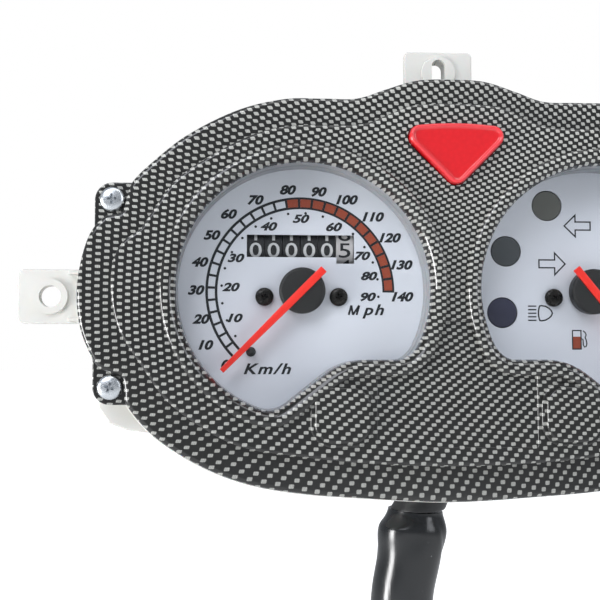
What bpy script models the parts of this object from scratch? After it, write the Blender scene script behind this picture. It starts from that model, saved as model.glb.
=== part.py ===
"""Twin-dial motorcycle instrument cluster: speedometer with odometer, fuel gauge, warning lights.

Row frame, in metres: +X to the rider's right, +Z up, and the dials face -Y, towards the rider.
The origin lies midway between the holes of the two side tabs, on the plane of the tabs' rear faces.

Each sub-part is drawn flat or turned in a local frame of its own, whose x is the row's +X, y is the
row's +Z and z is the height towards the rider, and face_rider() turns it upright.
"""
import math

import bmesh
import bpy
from mathutils import Matrix, Vector

MM = 0.001
GAP = 0.3 * MM  # between neighbours that touch on the real object

# Heights towards the rider, above the tabs' rear plane
LIP_TOP = 32.5 * MM
PLATEAU_TOP = 30.0 * MM
FLANGE_TOP = 24.5 * MM
EAR_TOP = 21.3 * MM
RIM_TOP = 18.0 * MM
DIAL_TOP = 14.0 * MM
DIAL_BACK = 13.0 * MM
TAB_TOP = 3.0 * MM
HOUSING_BACK = -30.0 * MM
WALL = 2.2 * MM

# The two dials stand either side of the centre plane
DIAL_X = 51.5 * MM
DIAL_Z = 1.5 * MM
OPENING_R = 42.8 * MM
LIP_WIDTH = 5.5 * MM
SILL_Z = -22.3 * MM  # level edge under each dial

# Half outlines, from the top centre down one side to the bottom centre: (distance from centre, up) in mm
FLANGE_HALF = [(0, 75.2), (12, 74.6), (23, 71.2), (33, 67.9), (45, 67.7), (58, 67.3), (74, 63.2),
               (91, 54.4), (103, 44.7), (109.5, 38), (111.2, 33.2), (113.2, 27.6), (118.8, 26.0),
               (124.4, 18.5), (127.8, 3), (126.6, -11.5), (121.5, -23.4), (117.8, -26.3),
               (112.9, -28.0), (111.7, -32.6), (110.6, -38), (101.5, -48.2),
               (87, -57.6), (71, -64), (53, -67.4), (30, -69.3), (0, -70.8)]
PLATEAU_HALF = [(0, 65), (14, 64.2), (22, 61.3), (30, 57.9), (40, 56.8), (53, 56.8), (66, 54.4),
                (80, 47.8), (94, 38.2), (102, 27.5), (106, 21.4), (112, 16.6), (115.2, 9.5),
                (115.5, -2), (112.5, -13.5), (105, -25), (97, -36), (85, -45), (72, -51.3),
                (55, -54.2), (30, -56.9), (0, -58)]
OUTLINE_STEPS = 1  # straight pieces between two outline points

# Ears, screws and mounting tabs
EARS = [(116.4 * MM, 32.0 * MM), (116.6 * MM, -31.6 * MM)]
EAR_R = 6.0 * MM
EAR_REACH = 13.0 * MM
SCREW_HEAD_R = 4.2 * MM
SCREW_SHANK_R = 1.9 * MM
SIDE_HOLE_X = 140.4 * MM
SIDE_HOLE_R = 3.75 * MM
SIDE_TAB_HALF = 9.7 * MM
SIDE_TAB_END = 152.0 * MM
TOP_BOSS_Z = 83.3 * MM
TOP_BOSS_R = 6.4 * MM
TOP_SLOT_HALF = 2.5 * MM
TOP_SLOT_LENGTH = 10.2 * MM
TOP_TAB_HALF = 12.6 * MM
TOP_TAB_END = 91.3 * MM

# Pointers
HUB_R = 8.0 * MM
HUB_TOP = 20.2 * MM
HUB_BOTTOM = 15.5 * MM
NEEDLE_TOP = 20.8 * MM
NEEDLE_BOTTOM = 19.4 * MM
NEEDLE_REACH = 37.5 * MM
NEEDLE_TAIL = 9.0 * MM
NEEDLE_WIDTH = 2.7 * MM
NEEDLE_TIP_WIDTH = 1.8 * MM
SPEED_REST = math.radians(225)
FUEL_REST = math.radians(-51)
SPINDLE_R = 0.8 * MM
SPINDLE_TOP = 17.7 * MM

# Odometer: six drums on one axle behind the window
DRUM_COUNT = 6
DRUM_PITCH = 6.3 * MM
DRUM_WIDTH = 5.9 * MM
DRUM_R = 9.6 * MM
AXLE_Z = 17.4 * MM
AXLE_HEIGHT = 2.6 * MM
AXLE_R = 1.0 * MM
WINDOW_LEFT = -70.7 * MM
WINDOW_RIGHT = -32.9 * MM
WINDOW_BOTTOM = 13.5 * MM
WINDOW_TOP = 21.4 * MM

# Drive train: worm on the cable shaft, cross shaft, transfer shaft, gear of the tenths drum
WORM_HEIGHT = -22.0 * MM
CROSS_Z = 8.0 * MM
CROSS_TEETH = 10
TRANSFER_X = -31.0 * MM
TRANSFER_Z = 27.5 * MM
TRANSFER_TEETH = 28
DRUM_TEETH = 20

# Lamps: (x, up) in mm; three warning lights, two dial lights, one behind the red triangle
WARNING_SPOTS = [(36.6, 32.6), (21.5, 16.1), (20.0, -5.8)]
DIAL_LAMP_SPOTS = [(-81.5, -16.5), (81.5, -16.5)]
TRIANGLE_LAMP_SPOT = (0.0, 48.0)
LAMP_NAMES = ["left_turn_lamp", "right_turn_lamp", "high_beam_lamp", "speedometer_lamp", "fuel_gauge_lamp",
              "warning_lamp"]
FILTER_R = 5.2 * MM
LAMP_PLUG_R = 5.0 * MM

# Bezel details
PAD_X = 39.0 * MM
PAD_Z = -40.7 * MM
PAD_SIZE = 18.6 * MM
PAD_CORNER = 6.5 * MM
PAD_TOP = 31.8 * MM
TRIANGLE_TOP = 32.8 * MM
LENS_LOW = 26.0 * MM

# Speedometer movement and fuel gauge
DIAL_SCREW_X = 13.0 * MM
DIAL_SCREW_Z = -0.5 * MM
DIAL_SHANK_R = 1.3 * MM
STOP_PIN_OFFSET = 2.45 * MM
BRIDGE_LOW = 9.8 * MM
PLATE_TOP = -6.5 * MM
PLATE_LOW = -8.5 * MM
MOUNT_POST_X = 24.0 * MM
MOUNT_POST_Z = -8.0 * MM
CABLE_TUBE_R = 6.0 * MM
CABLE_BORE = 3.4 * MM
CABLE_BORE_FRONT = 2.0 * MM
CABLE_END = -46.0 * MM
STUD_R = 1.5 * MM
ODOMETER_MID = (WINDOW_LEFT + WINDOW_RIGHT) / 2
CARRY_Z = 7.9 * MM
CARRY_HEIGHT = -4.7 * MM
FRAME_BACK = -8.5 * MM
CROSS_X = -40.0 * MM

# Harness, hanging from the underside
BOOT_NECK_R = 9.3 * MM
PLUG_LENGTH = 26.0 * MM
HARNESS_HEIGHT = -14.0 * MM
SLEEVE_R = 11.7 * MM
SLEEVE_ROUTE = [(-4.0, 14.0, -79.3), (-4.6, 14.0, -87), (-6.8, 14.2, -98), (-9.4, 14.4, -110),
                (-10.6, 14.6, -122), (-10.9, 14.6, -140), (-10.6, 14.4, -162), (-9.8, 14.0, -186),
                (-8.8, 13.6, -212), (-8.0, 13.4, -240), (-7.6, 13.4, -268), (-7.5, 13.4, -296)]
LOOM_ROUTE = [(0, 14, -78), (0, 14, -70), (0.5, 14.5, -62), (4, 16, -54), (12, 18, -46), (22, 19.5, -38),
              (32, 20, -29), (41, 19, -20), (47, 17, -13), (50, 15.5, -8)]


# ---------------------------------------------------------------- scene and helpers

def start_scene():
    """Empty the scene and make one collection for the cluster and one for its cutters."""
    for leftover in list(bpy.data.objects):
        bpy.data.objects.remove(leftover)
    for name in ("Instrument cluster", "Cutters"):
        collection = bpy.data.collections.new(name)
        bpy.context.scene.collection.children.link(collection)


def material(name, colour, roughness, metallic=0.0, alpha=1.0):
    """One Principled material in the part's own colour."""
    made = bpy.data.materials.get(name)
    if made:
        return made
    made = bpy.data.materials.new(name)
    made.use_nodes = True
    shader = made.node_tree.nodes["Principled BSDF"]
    shader.inputs["Base Color"].default_value = (*colour, 1.0)
    shader.inputs["Roughness"].default_value = roughness
    shader.inputs["Metallic"].default_value = metallic
    shader.inputs["Alpha"].default_value = alpha
    made.diffuse_color = (*colour, alpha)
    return made


def new_object(name, data):
    """Link an object to the cluster's collection."""
    obj = bpy.data.objects.new(name, data)
    bpy.data.collections["Instrument cluster"].objects.link(obj)
    return obj


def face_rider(obj, x=0.0, up=0.0, height=0.0):
    """Stand a locally drawn piece upright, its local z towards the rider, at its place."""
    obj.rotation_euler = (math.pi / 2, 0, 0)
    obj.location = (x, -height, up)
    return obj


def solid_from_curve(obj):
    """Turn a curve object into a mesh object with welded caps."""
    bpy.context.view_layer.update()
    evaluated = obj.evaluated_get(bpy.context.evaluated_depsgraph_get())
    mesh = bpy.data.meshes.new_from_object(evaluated)
    shape = bmesh.new()
    shape.from_mesh(mesh)
    bmesh.ops.remove_doubles(shape, verts=shape.verts, dist=1e-6)
    bmesh.ops.recalc_face_normals(shape, faces=shape.faces)
    shape.to_mesh(mesh)
    shape.free()
    name = obj.name
    place = obj.matrix_world.copy()
    bpy.data.objects.remove(obj)
    made = new_object(name, mesh)
    made.matrix_world = place
    return made


def flat_solid(name, loops, bottom, top, edge=0.0):
    """Extrude flat loops between two heights; edge rounds the rims by that much."""
    curve = bpy.data.curves.new(name, "CURVE")
    curve.dimensions = "2D"
    curve.fill_mode = "BOTH"
    for loop in loops:
        spline = curve.splines.new("POLY")
        spline.points.add(len(loop) - 1)
        for point, (x, y) in zip(spline.points, loop):
            point.co = (x, y, 0, 1)
        spline.use_cyclic_u = True
    curve.extrude = (top - bottom) / 2 - edge
    if edge:
        curve.bevel_depth = edge
        curve.bevel_resolution = 0
        curve.offset = -edge
    obj = new_object(name, curve)
    face_rider(obj, height=(top + bottom) / 2)
    return solid_from_curve(obj)


def turned(name, profile, steps, x=0.0, up=0.0, height=0.0):
    """Revolve a closed (radius, z) profile, listed down its outer side, about the local z."""
    mesh = bpy.data.meshes.new(name)
    count = len(profile)
    axis_ends = profile[0][0] < 1e-9 and profile[-1][0] < 1e-9
    edges = [(i, i + 1) for i in range(count - 1)]
    if not axis_ends:
        edges.append((count - 1, 0))
    mesh.from_pydata([(r, 0, z) for r, z in profile], edges, [])
    obj = new_object(name, mesh)
    screw = obj.modifiers.new("Turn", "SCREW")
    screw.steps = steps
    screw.render_steps = steps
    screw.use_merge_vertices = True
    screw.merge_threshold = 1e-6
    screw.use_smooth_shade = False
    return face_rider(obj, x, up, height)


def rod(radius, low, high):
    """Profile of a plain cylinder."""
    return [(0, high), (radius, high), (radius, low), (0, low)]


def pipe(outer, inner, low, high):
    """Profile of a tube."""
    return [(inner, high), (outer, high), (outer, low), (inner, low)]


def boolean(target, tools, operation="DIFFERENCE"):
    """Cut or join target with each tool; the tools become hidden guides."""
    for tool in tools:
        for collection in list(tool.users_collection):
            collection.objects.unlink(tool)
        bpy.data.collections["Cutters"].objects.link(tool)
        tool.hide_render = True
        tool.display_type = "WIRE"
        change = target.modifiers.new(tool.name, "BOOLEAN")
        change.operation = operation
        change.solver = "EXACT"
        change.object = tool
    return target


def finish(obj, paint, smooth=True):
    """Give a finished sub-part its material and its shading."""
    obj.data.materials.clear()
    obj.data.materials.append(paint)
    if smooth:
        obj.data.shade_smooth()
        obj.data.set_sharp_from_angle(angle=math.radians(35))
    return obj


# ---------------------------------------------------------------- outlines

def mirrored_outline(half):
    """Close a half outline across the centre plane and smooth it with a Catmull-Rom curve."""
    right = [Vector(point) * MM for point in half]
    left = [Vector((-point.x, point.y)) for point in reversed(right[1:-1])]
    keys = right + left
    count = len(keys)
    points = []
    for i in range(count):
        before, start, end, after = (keys[(i + k) % count] for k in (-1, 0, 1, 2))
        for step in range(OUTLINE_STEPS):
            t = step / OUTLINE_STEPS
            point = (start * 2 + (end - before) * t + (before * 2 - start * 5 + end * 4 - after) * t ** 2
                     + (start * 3 - before - end * 3 + after) * t ** 3) / 2
            points.append(point)
    return points


def grown(loop, distance):
    """Offset a clockwise loop outwards by distance, or inwards when it is negative."""
    result = []
    for i, point in enumerate(loop):
        ahead = loop[(i + 1) % len(loop)] - loop[i - 1]
        result.append(point + Vector((-ahead.y, ahead.x)).normalized() * distance)
    return result


def arc(x, y, radius, start, end, steps):
    """Points of an arc, angles in degrees."""
    angles = [math.radians(start + (end - start) * i / steps) for i in range(steps + 1)]
    return [Vector((x + radius * math.cos(a), y + radius * math.sin(a))) for a in angles]


def rounded_polygon(corners, radius, steps=4):
    """Round each corner of a clockwise polygon with an arc of the given radius."""
    points = []
    count = len(corners)
    for i in range(count):
        corner = Vector(corners[i])
        to_last = (Vector(corners[i - 1]) - corner).normalized()
        to_next = (Vector(corners[(i + 1) % count]) - corner).normalized()
        half_angle = to_last.angle(to_next) / 2
        centre = corner + (to_last + to_next).normalized() * radius / math.sin(half_angle)
        first = corner + to_last * radius / math.tan(half_angle) - centre
        last = corner + to_next * radius / math.tan(half_angle) - centre
        sweep = first.angle_signed(last)
        start = math.atan2(first.y, first.x)
        for step in range(steps + 1):
            a = start - sweep * step / steps
            points.append(centre + Vector((math.cos(a), math.sin(a))) * radius)
    return points


def eased(start, corner, end, steps=2):
    """Points of a smooth bend from start to end that aims for the corner between them."""
    ts = [i / steps for i in range(steps + 1)]
    return [start * (1 - t) ** 2 + corner * 2 * t * (1 - t) + end * t ** 2 for t in ts]


def opening_outline(side):
    """Dial opening: a circle with its lower inner corner masked off by a sill and a slant.

    side is -1 for the speedometer and 1 for the fuel gauge. Drawn about the dial centre with the first
    coordinate towards the cluster's centre plane, then put in its place, clockwise.
    """
    circle_end = arc(0, 0, OPENING_R, 250, 250, 1)[0]
    circle_start = arc(0, 0, OPENING_R, -26, -26, 1)[0]
    sill = SILL_Z - DIAL_Z
    slant_top = Vector((13.0 * MM, sill))
    slant_tip = Vector((-9.85 * MM, -41.7 * MM))
    sill_end = Vector((35.6 * MM, sill))
    loop = arc(0, 0, OPENING_R, -26, 250, 24)[:-1]
    loop += eased(circle_end, slant_tip, slant_tip.lerp(slant_top, 0.18))
    loop += eased(slant_tip.lerp(slant_top, 0.72), slant_top, slant_top.lerp(sill_end, 0.35))
    loop += eased(slant_top.lerp(sill_end, 0.8), sill_end, circle_start)[:-1]
    placed = [Vector((side * (DIAL_X - point.x), point.y + DIAL_Z)) for point in loop]
    return placed if side > 0 else list(reversed(placed))


def triangle_outline(growth=0.0):
    """The red warning lens: a downward triangle with rounded corners and a bowed top edge."""
    radius = 3.8 * MM + growth
    side = growth / math.sin(math.radians(21.65))
    top = 57.0 * MM + growth
    reach = 22.9 * MM + side * math.cos(math.radians(21.65))
    tip = 35.4 * MM - growth / math.cos(math.radians(43.3))
    return rounded_polygon([(-reach, top), (reach, top), (0, tip)], radius, 5)


def ear_outline(x, up, radius=EAR_R):
    """A screw ear: round outside, square towards the flange, drawn for +X or -X."""
    side = 1 if x > 0 else -1
    above = 1 if up > 0 else -1
    turn = 90 if above > 0 else -90
    outer = arc(0, 0, radius, turn, 0, 6)
    inner = [(radius, -above * EAR_REACH), (-EAR_REACH * 0.9, -above * EAR_REACH),
             (-EAR_REACH * 0.9, above * radius)]
    loop = [Vector((x + side * p[0], up + p[1])) for p in outer + [Vector(p) for p in inner]]
    return loop


def gear_outline(teeth, tip, depth):
    """Spur teeth round a circle: tip radius and tooth depth."""
    loop = []
    for i in range(teeth):
        for share, radius in ((-0.25, tip - depth), (-0.12, tip), (0.12, tip), (0.25, tip - depth)):
            angle = 2 * math.pi * (i + share) / teeth
            loop.append(Vector((radius * math.cos(angle), radius * math.sin(angle))))
    return loop


def worm_profile(radius, core, low, high, pitch):
    """Outer side of a worm, top to bottom, as a row of ridges on its core."""
    turns = int((high - low) / pitch)
    profile = []
    for i in range(turns):
        top = high - i * pitch
        profile += [(core, top), (radius, top - pitch * 0.25), (radius, top - pitch * 0.5),
                    (core, top - pitch * 0.75)]
    return profile


def block(name, x0, x1, up0, up1, low, high):
    """A rectangular block between two heights."""
    loop = [(x0, up1), (x1, up1), (x1, up0), (x0, up0)]
    return flat_solid(name, [loop], low, high)


def along_x(obj, x, up, height):
    """Lay a turned or flat piece on its side, its local z along +X."""
    obj.rotation_euler = (0, math.pi / 2, 0)
    obj.location = (x, -height, up)
    return obj


def pan_screw(name, x, up, head_r, head_height, shank_r, seat, tip):
    """A cross-recessed pan head screw, its head's underside at the seat height."""
    top = seat + head_height
    profile = [(0, top), (head_r * 0.55, top - head_height * 0.06), (head_r * 0.88, top - head_height * 0.4),
               (head_r, seat + head_height * 0.2), (head_r, seat), (shank_r, seat),
               (shank_r, tip + shank_r), (0, tip)]
    screw = turned(name, profile, 10, x, up)
    arm = head_r * 0.5
    half = head_r * 0.13
    cross = [(-half, arm), (half, arm), (half, half), (arm, half), (arm, -half), (half, -half),
             (half, -arm), (-half, -arm), (-half, -half), (-arm, -half), (-arm, half), (-half, half)]
    turn = Matrix.Rotation(math.radians(20), 2)
    loop = [turn @ Vector(p) + Vector((x, up)) for p in cross]
    recess = flat_solid(name + "_recess", [loop], top - head_height * 0.6, top + 1 * MM)
    return boolean(screw, [recess])


# ---------------------------------------------------------------- housing and bezel

def make_rear_housing(white):
    """Deep ABS tub with three mounting tabs, screw ears and holes for the lamps, cable and harness."""
    flange = mirrored_outline(FLANGE_HALF)
    tub_top = RIM_TOP - 2.2 * MM
    tub_outline = grown(flange, -3.5 * MM)
    housing = flat_solid("rear_housing", [tub_outline], HOUSING_BACK, RIM_TOP - 0.4 * MM, 1.5 * MM)
    rim = flat_solid("rim_block", [grown(flange, 1.0 * MM)], tub_top, RIM_TOP)
    additions = [rim]
    for side in (-1, 1):
        for number, (x, up) in enumerate(EARS):
            ear = flat_solid(f"ear_block_{side}_{number}", [ear_outline(side * x, up, EAR_R - 0.2 * MM)],
                             0.2 * MM, RIM_TOP - 0.2 * MM)
            additions.append(ear)
        tab = [(side * 118 * MM, SIDE_TAB_HALF), (side * (SIDE_TAB_END - 2 * MM), SIDE_TAB_HALF),
               (side * SIDE_TAB_END, SIDE_TAB_HALF - 2 * MM), (side * SIDE_TAB_END, 2 * MM - SIDE_TAB_HALF),
               (side * (SIDE_TAB_END - 2 * MM), -SIDE_TAB_HALF), (side * 118 * MM, -SIDE_TAB_HALF)]
        additions.append(flat_solid(f"side_tab_{side}", [tab], 0, TAB_TOP))
        gusset = [(side * 104 * MM, -36 * MM), (side * 122 * MM, -33 * MM), (side * 122 * MM, -39 * MM),
                  (side * 118 * MM, -44.6 * MM), (side * 111.5 * MM, -47 * MM), (side * 103 * MM, -48 * MM)]
        additions.append(flat_solid(f"gusset_{side}", [gusset], 5 * MM, 12 * MM))
    end = TOP_TAB_END
    tab = [(-TOP_TAB_HALF, 66 * MM), (-TOP_TAB_HALF, end - 1.5 * MM), (1.5 * MM - TOP_TAB_HALF, end),
           (TOP_TAB_HALF - 1.5 * MM, end), (TOP_TAB_HALF, end - 1.5 * MM), (TOP_TAB_HALF, 66 * MM)]
    additions.append(flat_solid("top_tab", [tab], 0, TAB_TOP))
    boss = turned("top_boss", rod(TOP_BOSS_R, -3.7 * MM, 3.8 * MM), 16, 0, TOP_BOSS_Z)
    additions.append(boss)
    boolean(housing, additions, "UNION")
    hollow = flat_solid("tub_hollow", [grown(flange, -5.7 * MM)], HOUSING_BACK + WALL, 40 * MM)
    cutters = [hollow]
    straight = TOP_SLOT_LENGTH / 2 - TOP_SLOT_HALF
    slot = arc(0, straight, TOP_SLOT_HALF, 180, 0, 6) + arc(0, -straight, TOP_SLOT_HALF, 0, -180, 6)
    slot = [point + Vector((0, TOP_BOSS_Z)) for point in slot]
    cutters.append(flat_solid("top_slot", [slot], -9 * MM, 9 * MM))
    for side in (-1, 1):
        hole = rod(SIDE_HOLE_R, -4 * MM, 8 * MM)
        cutters.append(turned(f"side_hole_{side}", hole, 16, side * SIDE_HOLE_X))
        for number, (x, up) in enumerate(EARS):
            pilot = rod(SCREW_SHANK_R + 0.2 * MM, 3 * MM, 30 * MM)
            cutters.append(turned(f"pilot_{side}_{number}", pilot, 8, side * x, up))
    boolean(housing, cutters)
    posts = []
    for offset in (-MOUNT_POST_X, MOUNT_POST_X):
        post = pipe(3.6 * MM, 1.7 * MM, HOUSING_BACK + 1 * MM, PLATE_LOW - GAP)
        posts.append(turned(f"mount_post_{offset:.3f}", post, 10, offset - DIAL_X, MOUNT_POST_Z))
    boolean(housing, posts, "UNION")
    holes = []
    for number, (x, up) in enumerate(lamp_spots()):
        hole = rod(LAMP_PLUG_R + GAP, HOUSING_BACK - 3 * MM, HOUSING_BACK + 4 * MM)
        holes.append(turned(f"lamp_hole_{number}", hole, 10, x * MM, up * MM))
    for offset in (-MOUNT_POST_X, MOUNT_POST_X):
        hole = rod(1.7 * MM, HOUSING_BACK - 3 * MM, HOUSING_BACK + 4 * MM)
        holes.append(turned(f"mount_hole_{offset:.3f}", hole, 8, offset - DIAL_X, MOUNT_POST_Z))
    cable_hole = rod(CABLE_TUBE_R + GAP, HOUSING_BACK - 3 * MM, HOUSING_BACK + 4 * MM)
    holes.append(turned("cable_hole", cable_hole, 16, -DIAL_X, DIAL_Z))
    harness_hole = turned("harness_hole", rod(BOOT_NECK_R + GAP, -74 * MM, -60 * MM), 16)
    harness_hole.rotation_euler = (0, 0, 0)
    harness_hole.location = (0, -HARNESS_HEIGHT, 0)
    holes.append(harness_hole)
    boolean(housing, holes)
    return finish(housing, white, smooth=False)


def make_front_bezel(charcoal):
    """Printed ABS cover: flange, raised plateau, a lip round each dial, two blank pads and screw ears."""
    flange = mirrored_outline(FLANGE_HALF)
    plateau = mirrored_outline(PLATEAU_HALF)
    skirt_bottom = RIM_TOP + GAP
    bezel = flat_solid("front_bezel", [flange], skirt_bottom - 4 * MM, FLANGE_TOP, 1.8 * MM)
    additions = [flat_solid("plateau_block", [plateau], FLANGE_TOP - 3 * MM, PLATEAU_TOP, 1.4 * MM)]
    for side in (-1, 1):
        lip = grown(opening_outline(side), LIP_WIDTH)
        additions.append(flat_solid(f"lip_block_{side}", [lip], FLANGE_TOP + 1 * MM, LIP_TOP, 1.4 * MM))
        pad = rounded_pad(side * PAD_X, PAD_Z)
        additions.append(flat_solid(f"pad_block_{side}", [pad], FLANGE_TOP + 2 * MM, PAD_TOP, 0.8 * MM))
        for number, (x, up) in enumerate(EARS):
            ear = flat_solid(f"ear_plate_{side}_{number}", [ear_outline(side * x, up)], skirt_bottom - 2 * MM,
                             EAR_TOP)
            additions.append(ear)
    boolean(bezel, additions, "UNION")
    skirt_cut = block("skirt_cut", -150 * MM, 150 * MM, -90 * MM, 90 * MM, skirt_bottom - 12 * MM,
                      skirt_bottom)
    under_flange = flat_solid("under_flange", [grown(flange, -WALL)], skirt_bottom - 6 * MM,
                              FLANGE_TOP - WALL)
    under_plateau = flat_solid("under_plateau", [grown(plateau, -WALL)], skirt_bottom - 8 * MM,
                               PLATEAU_TOP - WALL)
    cutters = [skirt_cut, under_flange, under_plateau]
    cutters.append(flat_solid("triangle_hole", [triangle_outline(0.35 * MM)], 20 * MM, 40 * MM))
    for side in (-1, 1):
        cutters.append(flat_solid(f"opening_{side}", [opening_outline(side)], 16 * MM, 40 * MM))
        for number, (x, up) in enumerate(EARS):
            hole = rod(SCREW_SHANK_R + 0.4 * MM, 10 * MM, 30 * MM)
            cutters.append(turned(f"ear_hole_{side}_{number}", hole, 8, side * x, up))
    boolean(bezel, cutters)
    return finish(bezel, charcoal, smooth=False)


def rounded_pad(x, up):
    """Rounded square blank pad, clockwise."""
    half = PAD_SIZE / 2
    corners = [(x - half, up + half), (x + half, up + half), (x + half, up - half), (x - half, up - half)]
    return rounded_polygon(corners, PAD_CORNER, 4)


def make_gasket(rubber):
    """Rubber seal between the housing's rim and the underside of the bezel."""
    flange = mirrored_outline(FLANGE_HALF)
    loops = [grown(flange, -WALL - 0.6 * MM), grown(flange, -WALL - 2.6 * MM)]
    return finish(flat_solid("gasket", loops, RIM_TOP + GAP, FLANGE_TOP - WALL - GAP), rubber, smooth=False)


def make_warning_lens(red):
    """Red triangular lens: a raised face through the bezel and a seat under it."""
    lens = flat_solid("warning_lens", [triangle_outline()], 27.0 * MM, TRIANGLE_TOP, 1.1 * MM)
    seat = flat_solid("warning_lens_seat", [triangle_outline(2.4 * MM)], 25.6 * MM, PLATEAU_TOP - WALL - GAP)
    boolean(lens, [seat], "UNION")
    return finish(lens, red, smooth=False)


def make_dial_stack(side, name, clear, white, print_white):
    """Clear lens, white ring wall and printed dial plate of one gauge."""
    outline = opening_outline(side)
    lens_top = PLATEAU_TOP - WALL - GAP
    lens = flat_solid(f"{name}_lens", [grown(outline, 3.0 * MM)], LENS_LOW, lens_top, 0.4 * MM)
    finish(lens, clear, smooth=False)
    walls = [grown(outline, 1.6 * MM), grown(outline, 0.3 * MM)]
    ring = flat_solid(f"{name}_ring_wall", walls, DIAL_TOP + GAP, LENS_LOW - GAP)
    finish(ring, white, smooth=False)
    dial = flat_solid(f"{name}_dial", [grown(outline, 3.2 * MM)], DIAL_BACK, DIAL_TOP)
    cutters = [turned(f"{name}_centre_hole", rod(3.0 * MM, 10 * MM, 16 * MM), 16, side * DIAL_X, DIAL_Z)]
    for offset in (-DIAL_SCREW_X, DIAL_SCREW_X):
        hole = rod(DIAL_SHANK_R + GAP, 10 * MM, 16 * MM)
        place = side * DIAL_X + offset
        cutters.append(turned(f"{name}_screw_hole_{offset:.3f}", hole, 10, place, DIAL_SCREW_Z))
    if side < 0:
        window = [(WINDOW_LEFT, WINDOW_TOP), (WINDOW_RIGHT, WINDOW_TOP),
                  (WINDOW_RIGHT, WINDOW_BOTTOM - 2.2 * MM),
                  (WINDOW_RIGHT - DRUM_PITCH, WINDOW_BOTTOM - 2.2 * MM),
                  (WINDOW_RIGHT - DRUM_PITCH, WINDOW_BOTTOM), (WINDOW_LEFT, WINDOW_BOTTOM)]
        cutters.append(flat_solid("odometer_window", [window], 10 * MM, 16 * MM))
        x, up = stop_pin_place()
        cutters.append(turned("pin_hole", rod(1.0 * MM, 10 * MM, 16 * MM), 8, x, up))
    else:
        for number, (x, up) in enumerate(WARNING_SPOTS):
            hole = rod(FILTER_R + GAP, 10 * MM, 16 * MM)
            cutters.append(turned(f"filter_hole_{number}", hole, 16, x * MM, up * MM))
    boolean(dial, cutters)
    finish(dial, print_white, smooth=False)


# ---------------------------------------------------------------- pointers

def needle_loop(angle):
    """Tapered red pointer from its square tail to its square tip, turned to the rest angle."""
    half = NEEDLE_WIDTH / 2
    tip = NEEDLE_TIP_WIDTH / 2
    along = [(-NEEDLE_TAIL, half), (HUB_R, half), (NEEDLE_REACH, tip), (NEEDLE_REACH, -tip), (HUB_R, -half),
             (-NEEDLE_TAIL, -half)]
    turn = Matrix.Rotation(angle, 2)
    return [turn @ Vector(point) for point in along]


def make_pointer(name, x, angle, red, black):
    """A gauge's moving pointer: red needle laid in the slot of a black hub."""
    needle = flat_solid(f"{name}_needle", [needle_loop(angle)], NEEDLE_BOTTOM, NEEDLE_TOP, 0.25 * MM)
    needle.location += Vector((x, 0, DIAL_Z))
    finish(needle, red, smooth=False)
    profile = [(0, HUB_TOP), (HUB_R - 0.8 * MM, HUB_TOP), (HUB_R, HUB_TOP - 0.8 * MM), (HUB_R, HUB_BOTTOM),
               (0, HUB_BOTTOM)]
    hub = turned(f"{name}_hub", profile, 24, x, DIAL_Z)
    half = NEEDLE_WIDTH / 2 + 0.15 * MM
    turn = Matrix.Rotation(angle, 2)
    centre = Vector((x, DIAL_Z))
    reach = HUB_R + 2 * MM
    corners = ((-reach, half), (reach, half), (reach, -half), (-reach, -half))
    slot = [turn @ Vector(corner) + centre for corner in corners]
    slot_cutter = flat_solid(f"{name}_slot", [slot], NEEDLE_BOTTOM - 0.15 * MM, NEEDLE_TOP + 2 * MM)
    socket = turned(f"{name}_socket", rod(SPINDLE_R + GAP, HUB_BOTTOM - 2 * MM, 18.0 * MM), 12, x, DIAL_Z)
    boolean(hub, [slot_cutter, socket])
    finish(hub, black, smooth=False)


def stop_pin_place():
    """The pointer's rest stands just below the needle at zero."""
    along = Vector((math.cos(SPEED_REST), math.sin(SPEED_REST)))
    across = Vector((-along.y, along.x))
    spot = Vector((-DIAL_X, DIAL_Z)) + along * 27.5 * MM + across * STOP_PIN_OFFSET
    return spot.x, spot.y


def make_stop_pin(black):
    """Rubber-sleeved rest pin of the speedometer pointer."""
    x, up = stop_pin_place()
    profile = [(0, 20.2 * MM), (0.9 * MM, 20.2 * MM), (1.15 * MM, 19.8 * MM), (1.15 * MM, 15.2 * MM),
               (1.7 * MM, 15.0 * MM), (1.7 * MM, DIAL_TOP + GAP), (0.7 * MM, DIAL_TOP + GAP),
               (0.7 * MM, 12.0 * MM), (0, 12.0 * MM)]
    return finish(turned("pointer_rest_pin", profile, 12, x, up), black)


# ---------------------------------------------------------------- speedometer movement

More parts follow.
